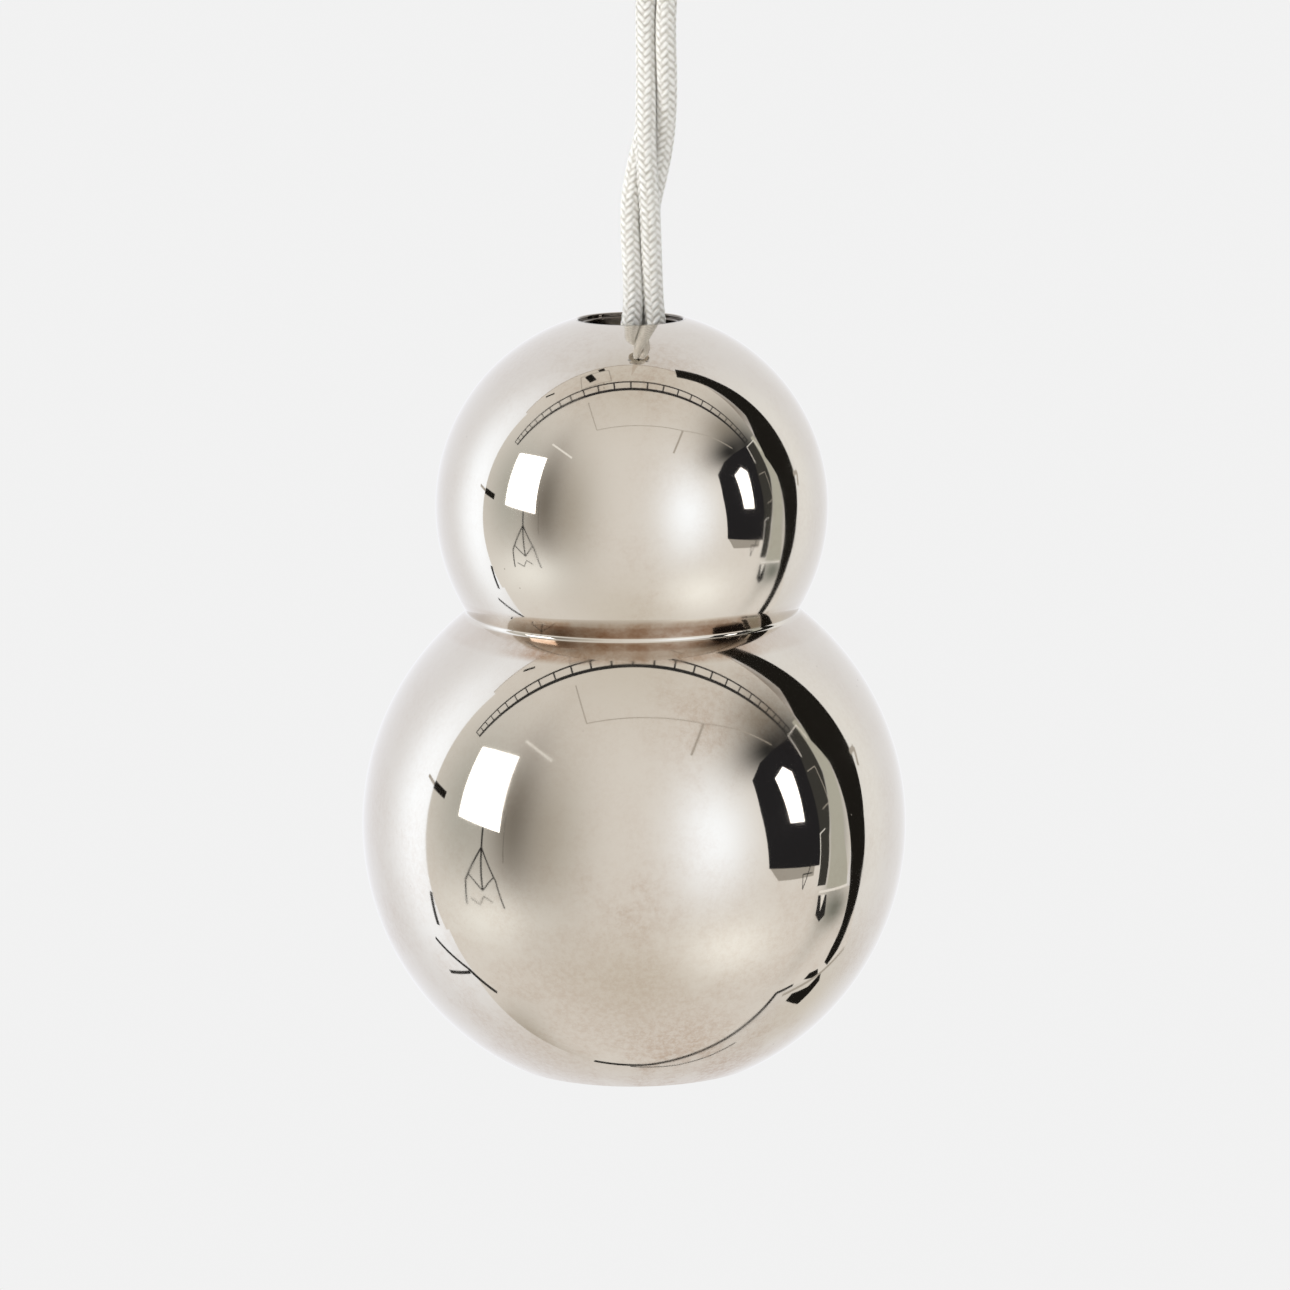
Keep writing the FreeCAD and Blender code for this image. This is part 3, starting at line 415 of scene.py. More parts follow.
def tarnish_and_painted_light_group():
    """Brown film in clouds and fine grain, thicker low down, with specks and smears; at the neck a brown band
    that is film and painted reflection; and painted shade in the mouth's bore.
    """
    group = bpy.data.node_groups.new("tarnish_and_painted_light", "ShaderNodeTree")
    face = group.interface
    for name, kind, value in (
            ("Metal", "NodeSocketColor", (0.66, 0.615, 0.555, 1)),
            ("Film", "NodeSocketColor", (0.40, 0.275, 0.19, 1)),
            ("Amount", "NodeSocketFloat", 0.5),
            ("Neck height", "NodeSocketFloat", 0.0),
            ("Polish", "NodeSocketFloat", 0.045)):
        face.new_socket(name, in_out="INPUT", socket_type=kind).default_value = value
    face.new_socket("Colour", in_out="OUTPUT", socket_type="NodeSocketColor")
    face.new_socket("Roughness", in_out="OUTPUT", socket_type="NodeSocketFloat")
    face.new_socket("Pits", in_out="OUTPUT", socket_type="NodeSocketFloat")
    given = group.nodes.new("NodeGroupInput").outputs
    out = group.nodes.new("NodeGroupOutput").inputs
    place = group.nodes.new("ShaderNodeTexCoord").outputs["Object"]
    height = add(group, "ShaderNodeSeparateXYZ", Vector=place).outputs["Z"]
    clouds = add(group, "ShaderNodeTexNoise", Vector=place,
                 Scale=38.0, Detail=10.0, Roughness=0.70).outputs["Fac"]
    grain = add(group, "ShaderNodeTexNoise", Vector=place,
                Scale=700.0, Detail=5.0, Roughness=0.75).outputs["Fac"]
    fine = ranged(group, grain, 0.34, 0.66, 0.30, 1.0)
    blotch = sums(group, "MULTIPLY", ranged(group, clouds, 0.40, 0.62, 0.15, 1.0), fine)
    spread = ranged(group, height, -0.322, -0.225, 0.40, 0.12)
    for spot, reach, share in WORN_SPOTS:
        away = group.nodes.new("ShaderNodeVectorMath")
        away.operation = "DISTANCE"
        group.links.new(place, away.inputs[0])
        away.inputs[1].default_value = spot
        spread = sums(group, "MAXIMUM", spread, ranged(group, away.outputs["Value"], 0.0, reach, share, 0.0))
    # painted reflection in the film's clouds and grain: a brown band round the neck, open at the seam itself
    # and strongest at the middle of the front and back, where the neck mirrors a dark band
    from_neck = sums(group, "ABSOLUTE", sums(group, "SUBTRACT", height, given["Neck height"]))
    neck = sums(group, "MULTIPLY", ranged(group, from_neck, 0.0040, 0.0058, 1.0, 0.0),
                ranged(group, clouds, 0.36, 0.58, 0.35, 0.95))
    neck = sums(group, "MULTIPLY", neck, ranged(group, grain, 0.30, 0.60, 0.7, 1.0))
    neck = sums(group, "MULTIPLY", neck, ranged(group, from_neck, 0.0003, 0.0010, 0.0, 1.0))
    aside = add(group, "ShaderNodeSeparateXYZ", Vector=place).outputs["X"]
    aside = sums(group, "ABSOLUTE", sums(group, "SUBTRACT", aside, AXIS_X))
    neck = sums(group, "MULTIPLY", neck, ranged(group, aside, 0.022, 0.040, 1.0, 0.22))
    film = sums(group, "MAXIMUM", sums(group, "MULTIPLY", sums(group, "MULTIPLY", blotch, spread),
                                       given["Amount"]), neck)
    speck = add(group, "ShaderNodeTexVoronoi", Vector=place, Scale=170.0, Randomness=1.0).outputs["Distance"]
    pick = add(group, "ShaderNodeTexNoise", Vector=place, Scale=60.0, Detail=2.0).outputs["Fac"]
    specks = sums(group, "MULTIPLY", ranged(group, speck, 0.025, 0.060, 1.0, 0.0),
                  ranged(group, pick, 0.60, 0.64))
    filmed = blended(group, film, given["Metal"], given["Film"])
    speckled_with_painted_light = blended(group, sums(group, "MULTIPLY", specks, 0.6), filmed, (0.16, 0.13, 0.10, 1))
    # painted shade: the bore of the mouth is darkened, as shade falls in the recess
    flat = add(group, "ShaderNodeMapping", Vector=place, Location=(-AXIS_X, 0, 0), Scale=(1, 1, 0)).outputs[0]
    reach = group.nodes.new("ShaderNodeVectorMath")
    reach.operation = "LENGTH"
    group.links.new(flat, reach.inputs[0])
    bore = sums(group, "MULTIPLY", ranged(group, reach.outputs["Value"], 0.0133, 0.0136, 0.85, 0.0),
                ranged(group, height, -0.20, -0.19))
    speckled_with_painted_light = blended(group, bore, speckled_with_painted_light, (0.10, 0.08, 0.065, 1))
    smear = add(group, "ShaderNodeTexNoise", Vector=place, Scale=45.0, Detail=5.0).outputs["Fac"]
    rough = sums(group, "ADD", given["Polish"], ranged(group, smear, 0.45, 0.75, 0.0, 0.05))
    group.links.new(speckled_with_painted_light, out["Colour"])
    group.links.new(sums(group, "ADD", rough, sums(group, "MULTIPLY", film, 0.06)), out["Roughness"])
    group.links.new(sums(group, "SUBTRACT", 1.0, specks), out["Pits"])
    return group


def polished_nickel(tarnish_and_painted_light, neck_height):
    material, tree, shader = new_material("polished_nickel")
    skin = tree.nodes.new("ShaderNodeGroup")
    skin.node_tree = tarnish_and_painted_light
    skin.inputs["Neck height"].default_value = neck_height
    skin.inputs["Amount"].default_value = 0.95
    skin.inputs["Polish"].default_value = 0.03
    tree.links.new(skin.outputs["Colour"], shader.inputs["Base Color"])
    tree.links.new(skin.outputs["Roughness"], shader.inputs["Roughness"])
    bump = add(tree, "ShaderNodeBump", Height=skin.outputs["Pits"], Distance=0.00002, Strength=0.5)
    tree.links.new(bump.outputs["Normal"], shader.inputs["Normal"])
    shader.inputs["Metallic"].default_value = 1
    return material


# ---------------------------------------------------------------- balls

def make_balls(nickel, bush_nickel_painted_shade):
    """The spun shells, the hollow ring between them and the bush in the mouth."""
    inner_low, inner_high = LOWER_RADIUS - WALL, UPPER_RADIUS - WALL
    arm_low, arm_high = LOWER_RADIUS + NECK_FILLET, UPPER_RADIUS + NECK_FILLET
    spacing = UPPER_HEIGHT - LOWER_HEIGHT
    neck_rise = (spacing ** 2 + arm_low ** 2 - arm_high ** 2) / (2 * spacing)
    neck_reach = math.sqrt(arm_low ** 2 - neck_rise ** 2)
    neck_height = LOWER_HEIGHT + neck_rise
    low_turn = math.degrees(math.atan2(neck_rise, neck_reach))
    high_turn = math.degrees(math.atan2(neck_rise - spacing, neck_reach))
    low_join = (neck_reach * LOWER_RADIUS / arm_low, LOWER_HEIGHT + neck_rise * LOWER_RADIUS / arm_low)
    high_join = (neck_reach * UPPER_RADIUS / arm_high,
                 UPPER_HEIGHT - (spacing - neck_rise) * UPPER_RADIUS / arm_high)
    low_rim = math.sqrt(inner_low ** 2 - (low_join[1] - LOWER_HEIGHT) ** 2)
    high_rim = math.sqrt(inner_high ** 2 - (UPPER_HEIGHT - high_join[1]) ** 2)
    spigot = min(low_rim, high_rim) - SLIP
    lip_radius = MOUTH_RADIUS + LIP
    lip_height = UPPER_HEIGHT + math.sqrt(UPPER_RADIUS ** 2 - lip_radius ** 2)

    flat_turn = math.degrees(math.asin(-LOWER_HEIGHT / LOWER_RADIUS))
    inner_turn = math.degrees(math.asin((WALL - LOWER_HEIGHT) / inner_low))
    lower_bottom = turned("lower_ball_bottom", (
        [(BOLT_HOLE_RADIUS, 0), (BOLT_HOLE_RADIUS + BOLT_HOLE_EDGE, 0)]
        + arc(0, LOWER_HEIGHT, LOWER_RADIUS, flat_turn, 0, 90)
        + arc(0, LOWER_HEIGHT, inner_low, 0, inner_turn, 60) + [(BOLT_HOLE_RADIUS - WALL, WALL)]))
    rim_turn = math.degrees(math.acos(low_rim / inner_low))
    lower_top = turned("lower_ball_top", (
        arc(0, LOWER_HEIGHT, LOWER_RADIUS, 0, low_turn, 80)
        + arc(0, LOWER_HEIGHT, inner_low, rim_turn, 0, 50)))
    neck = turned("neck_ring_turned", (
        arc(neck_reach, neck_height, NECK_FILLET, 180 + low_turn, 180 + high_turn, 40)
        + [(spigot, high_join[1]), (spigot, high_join[1] + SPIGOT_REACH),
           (spigot - SPIGOT_WALL, high_join[1] + SPIGOT_REACH),
           (spigot - SPIGOT_WALL, low_join[1] - SPIGOT_REACH),
           (spigot, low_join[1] - SPIGOT_REACH), (spigot, low_join[1])]))
    lip_turn = math.degrees(math.acos(lip_radius / UPPER_RADIUS))
    mouth_inside = math.degrees(math.acos(MOUTH_RADIUS / inner_high))
    high_rim_turn = -math.degrees(math.acos(high_rim / inner_high))
    upper = turned("upper_ball_spun", (
        arc(0, UPPER_HEIGHT, UPPER_RADIUS, high_turn, lip_turn, 120)
        + arc(lip_radius, lip_height - LIP, LIP, 75, 180, 14)
        + arc(0, UPPER_HEIGHT, inner_high, mouth_inside, high_rim_turn, 60)))
    bush_top = lip_height - BUSH_STEP
    bush_foot = bush_top - BUSH_LENGTH
    bush_radius = MOUTH_RADIUS - SLIP
    flange = bush_radius + FLANGE
    flange_seat = UPPER_HEIGHT + math.sqrt(inner_high ** 2 - flange ** 2) - SLIP
    collar_seat = UPPER_HEIGHT + math.sqrt(inner_high ** 2 - bush_radius ** 2) - SLIP
    inside = bush_radius - BUSH_WALL
    bush = turned("guide_bush_turned", (
        arc(inside + 0.3, bush_foot + 0.3, 0.3, 180, 270, 4)
        + [(bush_radius, bush_foot), (bush_radius, flange_seat - FLANGE_THICK),
           (flange, flange_seat - FLANGE_THICK), (flange, flange_seat), (bush_radius, collar_seat)]
        + arc(bush_radius - 0.2, bush_top - 0.2, 0.2, 0, 90, 4)
        + arc(inside + 0.4, bush_top - 0.4, 0.4, 90, 180, 6)))
    for piece, node, finish, slot in (
            (lower_bottom, "lower_shell_bottom", nickel, "nickel_shell"),
            (lower_top, "lower_shell_top", nickel, "nickel_shell"),
            (neck, "neck_ring", nickel, "nickel_shell"),
            (upper, "upper_shell", nickel, "nickel_shell"),
            (bush, "guide_bush", bush_nickel_painted_shade, "nickel_bush")):
        piece.data.materials.append(finish)
        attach(piece, "weight")
        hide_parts(node)


# ---------------------------------------------------------------- studio

MIDDLE = Vector((AXIS_X, 0, -0.215))  # what the studio stands round


def toward(azimuth, elevation, away=1.0):
    """A spot seen from the weight: azimuth from the camera's side, to the right; elevation up."""
    a, e = math.radians(azimuth), math.radians(elevation)
    return MIDDLE + away * Vector((math.sin(a) * math.cos(e), -math.cos(a) * math.cos(e), math.sin(e)))


# Emission for the softboxes, the pale floor and the studio's room, cove, drape and kit; the room, cove, drape
# and kit are no lamps, and glow with their light and shade painted in.
def glow(name, colour, strength=1.0, painted=False):
    material = bpy.data.materials.new(name)
    material.use_nodes = True
    tree = material.node_tree
    tree.nodes.clear()
    light = tree.nodes.new("ShaderNodeEmission")
    light.inputs["Color"].default_value = (*colour, 1)
    light.inputs["Strength"].default_value = strength
    if painted:
        paint = tree.nodes.new("ShaderNodeAttribute")
        paint.attribute_name = "paint"
        tree.links.new(paint.outputs["Color"], light.inputs["Color"])
    out = tree.nodes.new("ShaderNodeOutputMaterial")
    tree.links.new(light.outputs[0], out.inputs["Surface"])
    return material


def off_camera(piece, material):
    """Studio kit that the metal reflects but no view shows."""
    piece.data.materials.append(material)
    piece.visible_camera = False
    piece.visible_shadow = False
    return piece


def card(name, corners, material):
    """A flat card with the given corners."""
    mesh = bpy.data.meshes.new(name)
    mesh.from_pydata([tuple(c) for c in corners], [], [tuple(range(len(corners)))])
    return off_camera(link(name, mesh), material)


def bar(name, start, finish, thick, material):
    """A thin square bar between two spots."""
    start, finish = Vector(start), Vector(finish)
    way = (finish - start).normalized()
    first = way.orthogonal().normalized() * thick / 2
    second = way.cross(first)
    corners = ((1, 1), (-1, 1), (-1, -1), (1, -1))
    points = [end + a * first + b * second for end in (start, finish) for a, b in corners]
    faces = [(0, 1, 5, 4), (1, 2, 6, 5), (2, 3, 7, 6), (3, 0, 4, 7), (0, 3, 2, 1), (4, 5, 6, 7)]
    mesh = bpy.data.meshes.new(name)
    mesh.from_pydata([tuple(p) for p in points], [], faces)
    return off_camera(link(name, mesh), material)


def paint(mesh, rule):
    """Gives each point the colour that the rule says for the direction it is seen in."""
    co = np.empty(len(mesh.vertices) * 3)
    mesh.vertices.foreach_get("co", co)
    away = co.reshape(-1, 3) - np.array(MIDDLE)
    away /= np.linalg.norm(away, axis=1)[:, None]
    azimuth = np.degrees(np.arctan2(away[:, 0], -away[:, 1]))
    elevation = np.degrees(np.arcsin(np.clip(away[:, 2], -1, 1)))
    colours = np.ones((len(away), 4), np.float32)
    colours[:, :3] = rule(azimuth, elevation)
    layer = mesh.color_attributes.new("paint", "FLOAT_COLOR", "POINT")
    layer.data.foreach_set("color", colours.ravel())


def pools(base, spots):
    """A paint rule: a base colour with soft pools of others, (azimuth, elevation, width, height, colour)."""
    def rule(azimuth, elevation):
        mixed = np.tile(np.array(base, float), (len(azimuth), 1))
        for centre_az, centre_el, wide, high, colour in spots:
            off = (azimuth - centre_az + 180) % 360 - 180
            share = np.exp(-(off / wide) ** 2 - ((elevation - centre_el) / high) ** 2)[:, None]
            mixed = mixed * (1 - share) + np.array(colour) * share
        return mixed
    return rule


# Painted light and shade on the room's walls, floor and ceiling, which glow though they are no lamps:
# brighter pools where the softboxes' light falls, darker pools of shade beside the left softbox, round the
# drape and along the floor's edge.
ROOM = pools((1.0, 0.98, 0.95), [
    (0, 88, 400, 34, (0.84, 0.80, 0.73)),
    (0, -56, 50, 24, (0.88, 0.84, 0.77)),
    (-75, 10, 20, 30, (0.60, 0.61, 0.57)),
    (-37, 5, 18, 34, (0.62, 0.59, 0.53)),
    (-52, 8, 12, 30, (0.28, 0.26, 0.23)),
    (33, 4, 17, 25, (1.44, 1.55, 1.70)),
    (-68, -28, 24, 11, (1.20, 1.22, 1.20)),
    (48, -40, 24, 12, (1.30, 1.32, 1.30)),
    (78, 40, 24, 12, (0.44, 0.41, 0.36)),
    (70, 30, 18, 8, (0.03, 0.03, 0.03)),
    (86, 28, 12, 8, (0.03, 0.03, 0.03)),
    (94, 0, 6, 32, (0.42, 0.43, 0.40)),
    (99, -26, 8, 5, (0.26, 0.28, 0.25)),
    (-135, -61, 40, 7, (0.56, 0.52, 0.45)),
])

# Painted light and shade on the white cove, which glows though it is no lamp: brighter where the softboxes
# light it, with a painted shadow of the flag and painted shade low on the right, along its top and along its
# foot.
COVE = pools((0.98, 0.99, 1.02), [
    (-103, 0, 20, 48, (1.55, 1.68, 1.86)),
    (-150, 0, 30, 60, (1.02, 1.04, 1.10)),
    (118, 8, 14, 45, (1.10, 1.12, 1.12)),
    (125, -48, 24, 14, (0.86, 0.83, 0.76)),
    (98, 44, 6, 16, (0.34, 0.31, 0.27)),
    (180, 88, 400, 20, (0.86, 0.84, 0.81)),
    (180, -80, 400, 24, (0.92, 0.89, 0.85)),
])


def dome(name, radius, rule, material):
    rows, columns = 90, 180
    down = np.radians(np.linspace(-89.9, 89.9, rows))[:, None]
    round_ = np.linspace(0, 2 * math.pi, columns, endpoint=False)[None, :]
    ball = np.stack([np.cos(down) * np.cos(round_), np.cos(down) * np.sin(round_),
                     np.sin(down) + 0 * round_], axis=-1)
    points = ball.reshape(-1, 3) * radius + np.array(MIDDLE)
    mesh = quad_mesh(name, points, grid_faces(rows, columns))
    paint(mesh, rule)
    return off_camera(link(name, mesh), material)


def sheet_grid(name, corners, material, rule, steps=24):
    """A four-cornered card, painted in fine steps."""
    a, b, c, d = [np.array(p, float) for p in corners]
    u = np.linspace(0, 1, steps)[:, None, None]
    v = np.linspace(0, 1, steps)[None, :, None]
    points = (a * (1 - u) * (1 - v) + b * u * (1 - v) + c * u * v + d * (1 - u) * v).reshape(-1, 3)
    points = points + np.array(MIDDLE)
    mesh = quad_mesh(name, points, grid_faces(steps, steps, closed_columns=False))
    paint(mesh, rule)
    return off_camera(link(name, mesh), material)


def make_cove(dark):
    """The white cove behind and over the weight, and the truss in front of its top edge."""
    white = glow("cove_painted_light", (1, 1, 1), painted=True)
    high = 1.5
    low = 0.73 * high
    left, right, back = 1.1 * high, 1.9 * high, 2.2 * high
    front = 0.135 * high
    left_wing, right_wing = 0.09 * left, 0.2 * right
    for name, corners in (
            ("top", [(-left, front, high), (right, front, high), (right, back, high), (-left, back, high)]),
            ("back", [(-left, back, -low), (right, back, -low), (right, back, high), (-left, back, high)]),
            ("left", [(-left, left_wing, -low), (-left, back, -low), (-left, back, high),
                      (-left, left_wing, high)]),
            ("right", [(right, right_wing, -low), (right, back, -low), (right, back, high),
                       (right, right_wing, high)])):
        sheet_grid("cove_" + name, corners, white, COVE)
    # the floor's front edge: across and back, in floor depths
    edge = [(-1.6, 0.09), (-0.99, 0.09), (-0.61, 0.17), (-0.15, 0.28), (0.04, 0.29), (0.34, 0.21),
            (0.54, 0.15), (0.74, 0.09), (0.84, 0.19), (0.99, 0.45), (1.3, 0.8), (2.6, 0.85)]
    for n in range(len(edge) - 1):
        (x0, y0), (x1, y1) = edge[n], edge[n + 1]
        corners = [(x0 * low, y0 * low, -low), (x1 * low, y1 * low, -low), (x1 * low, back, -low),
                   (x0 * low, back, -low)]
        sheet_grid("cove_floor_%d" % n, corners, white, COVE, steps=12)
    for name, line, thick in (("edge", edge[3:9], 0.024),
                              ("hem", [(-0.02, 0.31), (0.14, 0.36), (0.26, 0.36), (0.38, 0.33)], 0.010)):
        for n in range(len(line) - 1):
            (x0, y0), (x1, y1) = line[n], line[n + 1]
            bar("cove_floor_%s_%d" % (name, n), MIDDLE + Vector((x0, y0, -0.99)) * low,
                MIDDLE + Vector((x1, y1, -0.99)) * low, thick, dark)
    bar("cove_top_edge", MIDDLE + Vector((-left, front, high)), MIDDLE + Vector((right, front, high)),
        0.006, glow("cove_hem", (0.42, 0.36, 0.30)))
    # the truss: two long rails and the rungs between them
    outer, inner, half_long, gaps = 0.175, 0.085, 1.7, 26
    for reach, thick in ((outer, 0.034), (inner, 0.018)):
        bar("truss_rail_%d" % (reach * 1000), MIDDLE + Vector((-half_long, -reach, 1.0)) * high,
            MIDDLE + Vector((half_long, -reach, 1.0)) * high, thick, dark)
    for n in range(gaps + 1):
        x = half_long * (2 * n / gaps - 1)
        bar("truss_rung_%d" % n, MIDDLE + Vector((x, -inner, 1.0)) * high,
            MIDDLE + Vector((x, -outer, 1.0)) * high, 0.013, dark)


def directions(name, spots, away, material):
    """A card whose corners are given as (azimuth, elevation)."""
    return card(name, [toward(azimuth, elevation, away) for azimuth, elevation in spots], material)


def rods(name, spots, away, thick, material):
    """Thin rods from one (azimuth, elevation) to the next."""
    for n in range(len(spots) - 1):
        bar("%s_%d" % (name, n), toward(*spots[n], away), toward(*spots[n + 1], away), thick, material)


def make_studio():
    dark = glow("studio_dark", (0.035, 0.035, 0.035))
    black = glow("studio_black", (0.016, 0.015, 0.013))
    faint = glow("studio_faint", (0.55, 0.52, 0.47))
    pale = glow("studio_pale", (1.15, 1.15, 1.12))
    lamp = glow("softbox_white", (1.0, 1.0, 1.0), 3.4)
    dome("studio_room", 6.0, ROOM, glow("room_walls_painted_light", (1, 1, 1), painted=True))
    make_cove(dark)
    # left: softbox on its stand, clamp, cable on the floor
    directions("softbox_left", [(-78, 4), (-57, 2.5), (-57.5, 31), (-78.5, 28)], 2.0, lamp)
    rods("stand_post", [(-65, 3), (-65, -4), (-66, -19)], 2.0, 0.022, dark)
    rods("stand_leg_a", [(-65, -4), (-74, -16), (-76, -24)], 2.0, 0.018, dark)
    rods("stand_leg_b", [(-65, -4), (-59, -15), (-57, -25)], 2.0, 0.018, dark)
    rods("stand_brace", [(-72, -14), (-66, -19), (-60, -14)], 2.0, 0.013, dark)
    rods("stand_foot", [(-73, -22), (-69, -24), (-66, -21), (-62, -23)], 2.0, 0.010, dark)
    rods("pole_left", [(-55, 9), (-55, -8)], 2.4, 0.010, glow("pole", (0.2, 0.19, 0.17)))
    rods("clamp", [(-94, 8), (-86, 7)], 1.0, 0.030, black)
    rods("clamp_arm", [(-99, 9), (-94, 8)], 1.0, 0.012, faint)
    rods("cable", [(-95, -22), (-98, -31)], 1.2, 0.022, dark)
    rods("cable_floor", [(-105, -34), (-96, -44), (-92, -53)], 1.2, 0.022, dark)
    rods("cable_fork", [(-112, -42), (-97, -45)], 1.2, 0.020, dark)
    # right: drape with the second softbox before it, kit beyond it, black flag on the cove's edge
    directions("drape_right", [(57, -11), (83, -13), (83, 10), (88, 20), (91, 29), (84, 29), (72, 29),
                               (62, 27), (55, 22), (55, 10), (56, 0)], 2.6,
               glow("drape", (0.024, 0.024, 0.027)))
    directions("drape_foot", [(57.5, -11), (80, -12.5), (80, -16), (62, -16)], 2.7,
               glow("bench", (0.50, 0.48, 0.44)))
    rods("bench_leg", [(78, -11), (75, -20), (74, -15), (79, -15)], 2.5, 0.012, dark)
    directions("softbox_right", [(68, 3), (75, 2), (75.5, 19), (72, 22), (66, 19.5)], 2.0, lamp)
    near_edge = [(110, -41), (108, -38), (106, -32), (103, -25), (100, -18), (98, -6), (97, 5), (96, 13),
                 (92, 22), (93, 31), (99, 39), (101, 58), (98, 71)]
    far_edge = [(115, 71), (112, 54), (112, 10), (109, -6), (109, -20), (111, -30), (114, -37), (114, -41)]
    directions("flag_right", near_edge + far_edge, 0.9, black)
    directions("sandbag", [(109, -43), (105, -45), (105, -47), (114, -44)], 0.9, black)
    directions("sandbag_low", [(114, -43), (119, -44), (121, -47), (122, -50), (109, -53), (107, -51),
                               (114, -47)], 0.9, black)
    rods("floor_lip", [(101, -53), (105, -50), (114, -43), (119, -36)], 0.88, 0.014, faint)
    rods("flag_clip", [(106, 10), (115, 9), (113, 5)], 0.86, 0.016, faint)
    directions("wall_panel", [(88, -21), (101, -21), (96, -8), (97, 4), (97, 14), (94, 26), (93, 31),
                              (90, 31), (90.5, 23), (91.5, 13), (89.5, 4), (88, -7)], 1.5,
               glow("grey_green", (0.60, 0.61, 0.54)))
    directions("kit_dark", [(82, -20), (87, -20), (87, -6), (89, 4), (91, 13), (90.5, 23), (90, 30),
                            (84, 29), (82, 14)], 1.52, glow("dim_grey", (0.06, 0.06, 0.055)))
    rods("kit_edge", [(82, -20), (82, -4), (85, -3)], 1.45, 0.006, pale)
    rods("kit_post", [(83, 16), (88, 16), (89.5, 4), (85, 3)], 1.45, 0.005, faint)
    rods("kit_frame", [(83.5, 21), (83, 29), (91, 29.5), (92, 24)], 1.45, 0.007, pale)
    rods("kit_foot", [(84, -22), (101, -21)], 1.45, 0.014, pale)
    directions("kit_wheel", [(84, -23), (89, -23), (92, -29), (90, -31), (86, -29)], 1.45, dark)
    directions("kit_wedge", [(85.5, -23), (88, -23), (88, -28)], 1.43, pale)
    # ceiling: its corner line, two tube lamps, and gear over the cove
    rods("ceiling_line", [(-56, 65), (-30, 52), (15, 56), (44, 49), (62, 41), (73, 31)], 5.0, 0.03, faint)
    rods("ceiling_lamp_left", [(-59, 38), (-41, 34)], 5.0, 0.07, pale)
    rods("ceiling_lamp_right", [(30, 38), (44, 49)], 5.0, 0.07, faint)
    rods("gear", [(-103, 72), (-86, 74)], 1.2, 0.050, black)
    rods("gear_arm", [(-112, 76), (-119, 78)], 1.2, 0.030, black)
    rods("gear_frame", [(-102, 69), (-79, 68), (-67, 81), (-117, 80), (-102, 69)], 1.2, 0.007, faint)
    rods("gear_mark", [(-96, 53), (-94, 57)], 1.2, 0.014, black)
    # what the weight hangs from, above its eye
    bar("hanging_line", (0, 0, 0.012), (0, 0, 1.25), 0.006, glow("hanging_line", (0.72, 0.66, 0.58)))


def area_light(name, spot, size, power, colour):
    """A soft light that the metal doesn't mirror; the cove and softboxes are there for that."""
    light = bpy.data.lights.new(name, "AREA")
    light.energy, light.size, light.color = power, size, colour
    holder = link(name, light)
    holder.location = spot
    aim = MIDDLE + Vector((0, 0, 0.12)) - holder.location
    holder.rotation_euler = aim.to_track_quat("-Z", "Y").to_euler()
    holder.visible_glossy = False
    holder.visible_camera = False


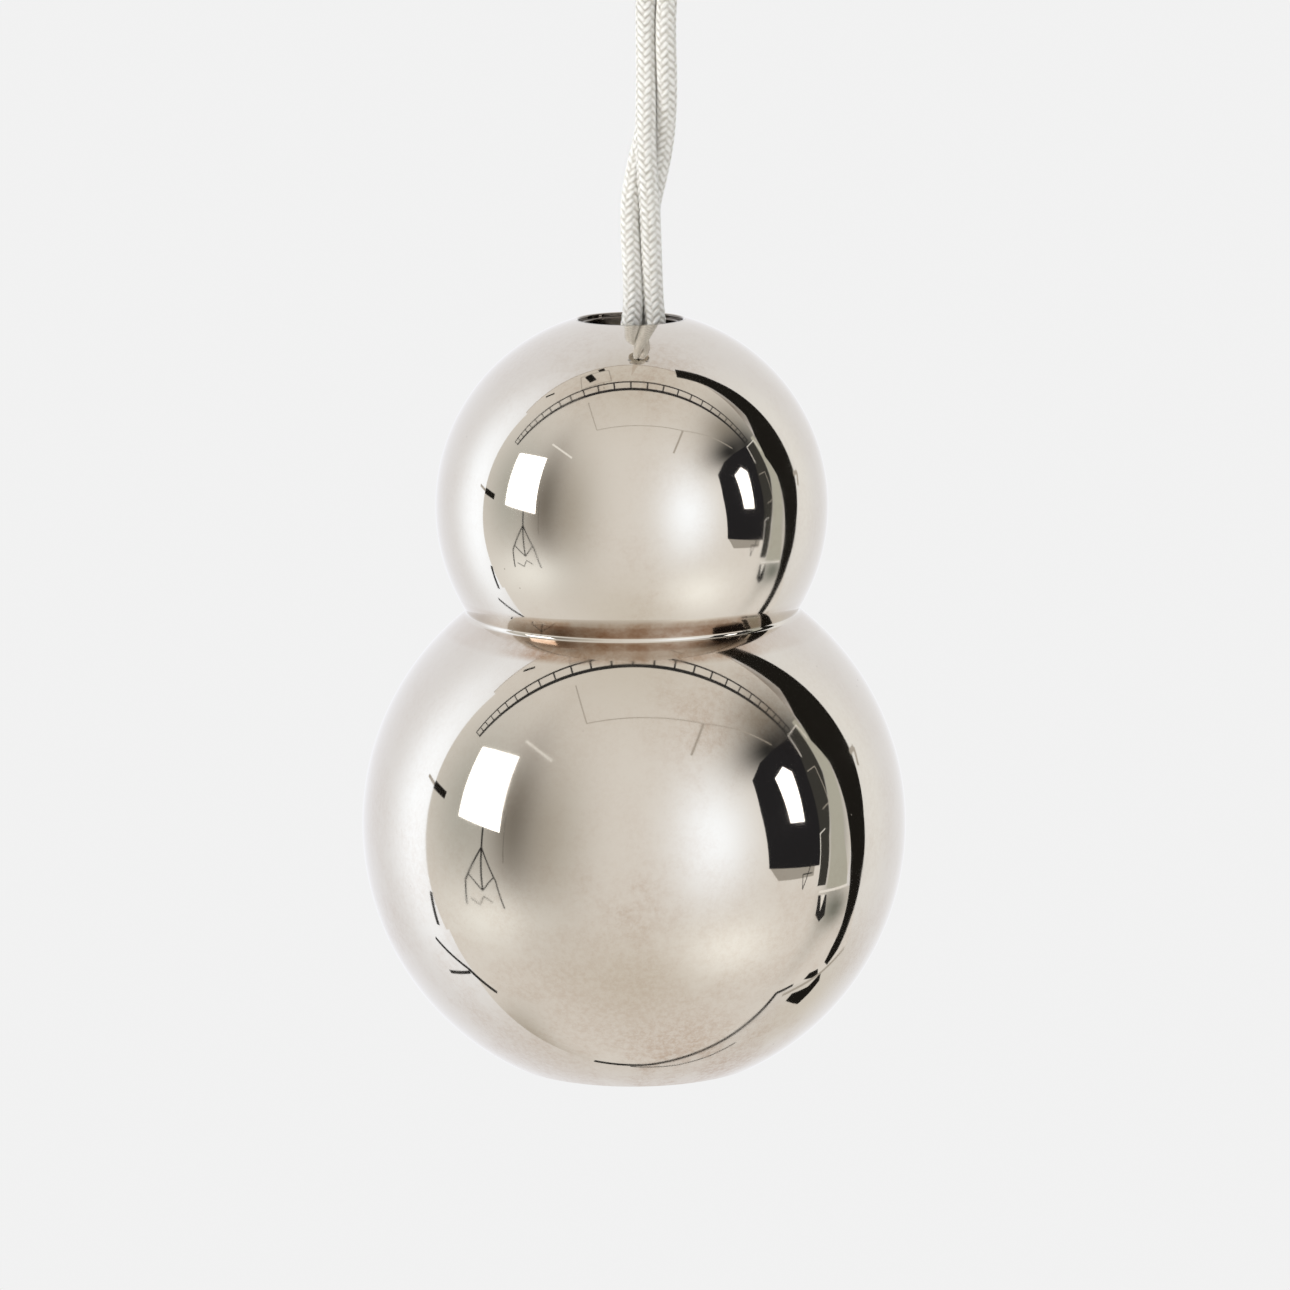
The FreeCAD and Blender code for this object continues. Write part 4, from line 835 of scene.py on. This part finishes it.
def make_backdrop():
    """A plain pale world for the camera, and a pale floor below the weight."""
    scene = bpy.context.scene
    world = bpy.data.worlds.new("pale_studio")
    scene.world = world
    world.use_nodes = True
    world.node_tree.nodes["Background"].inputs["Color"].default_value = (*PALE, 1)
    floor = link("pale_floor", bpy.data.meshes.new("pale_floor"))
    floor.data.from_pydata([(x, y, BASE_Z - 0.6) for x, y in ((-20, -20), (20, -20), (20, 20), (-20, 20))],
                           [], [(0, 1, 2, 3)])
    material = glow("pale_floor", PALE)
    tree = material.node_tree
    below = tree.nodes.new("ShaderNodeNewGeometry")
    clear = tree.nodes.new("ShaderNodeBsdfTransparent")
    mix = tree.nodes.new("ShaderNodeMixShader")
    light = next(n for n in tree.nodes if n.type == "EMISSION")
    out = next(n for n in tree.nodes if n.type == "OUTPUT_MATERIAL")
    tree.links.new(below.outputs["Backfacing"], mix.inputs[0])
    tree.links.new(light.outputs[0], mix.inputs[1])
    tree.links.new(clear.outputs[0], mix.inputs[2])
    tree.links.new(mix.outputs[0], out.inputs["Surface"])
    floor.data.materials.append(material)
    floor.visible_glossy = False
    floor.visible_diffuse = False
    scene.view_settings.view_transform = "Standard"
    scene.view_settings.look = "None"


# ---------------------------------------------------------------- the rest of the nodes

def dress_nodes():
    """Finishes for the pieces that keep their own shape."""
    steel = metal("turned_steel", (0.56, 0.57, 0.58), 0.28)
    plate = metal("steel_plate", (0.50, 0.51, 0.52), 0.36)
    brass = metal("brass", (0.83, 0.65, 0.33), 0.24)
    bronze = metal("bronze", (0.66, 0.45, 0.24), 0.32)
    iron = metal("cast_ballast", (0.24, 0.24, 0.25), 0.55)
    resin = metal("sheave_resin", (0.75, 0.72, 0.64), 0.4)
    resin.node_tree.nodes["Principled BSDF"].inputs["Metallic"].default_value = 0
    felt = metal("grey_felt", (0.22, 0.21, 0.20), 0.95)
    felt.node_tree.nodes["Principled BSDF"].inputs["Metallic"].default_value = 0
    hanger = metal("hanger_nickel", (0.66, 0.61, 0.53), 0.14)
    finishes = {
        brass: ("equator_sleeve", "dead_end_socket"),
        iron: ("ballast_bottom", "ballast_top"),
        felt: ("ballast_packing",),
        steel: ("base_bolt", "cheek_screws", "axle", "axle_clips", "becket_pin", "becket_clips",
                "socket_screws"),
        plate: ("carriage_foot", "cheek_front", "cheek_back"),
        resin: ("sheave", "thrust_washers"),
        bronze: ("sheave_bush",),
        hanger: ("cord_socket", "hanging_eye", "eye_nut"),
    }
    for finish, names in finishes.items():
        for name in names:
            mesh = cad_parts[name].data
            mesh.materials.clear()
            mesh.materials.append(finish)


make_camera()
make_cords(silk_cord())
make_balls(polished_nickel(tarnish_and_painted_light_group(), BASE_Z + NECK_BAND_HEIGHT * MM),
           # the bush's nickel is darkened as painted shade inside the mouth
           metal("bush_nickel_painted_shade", (0.17, 0.145, 0.12), 0.16))
dress_nodes()
make_studio()
area_light("key_left", toward(-72, 30, 1.4), 0.35, 9, (1.0, 1.0, 1.0))
area_light("fill_right", toward(60, 5, 1.6), 0.5, 2.5, (1.0, 0.97, 0.92))
make_backdrop()
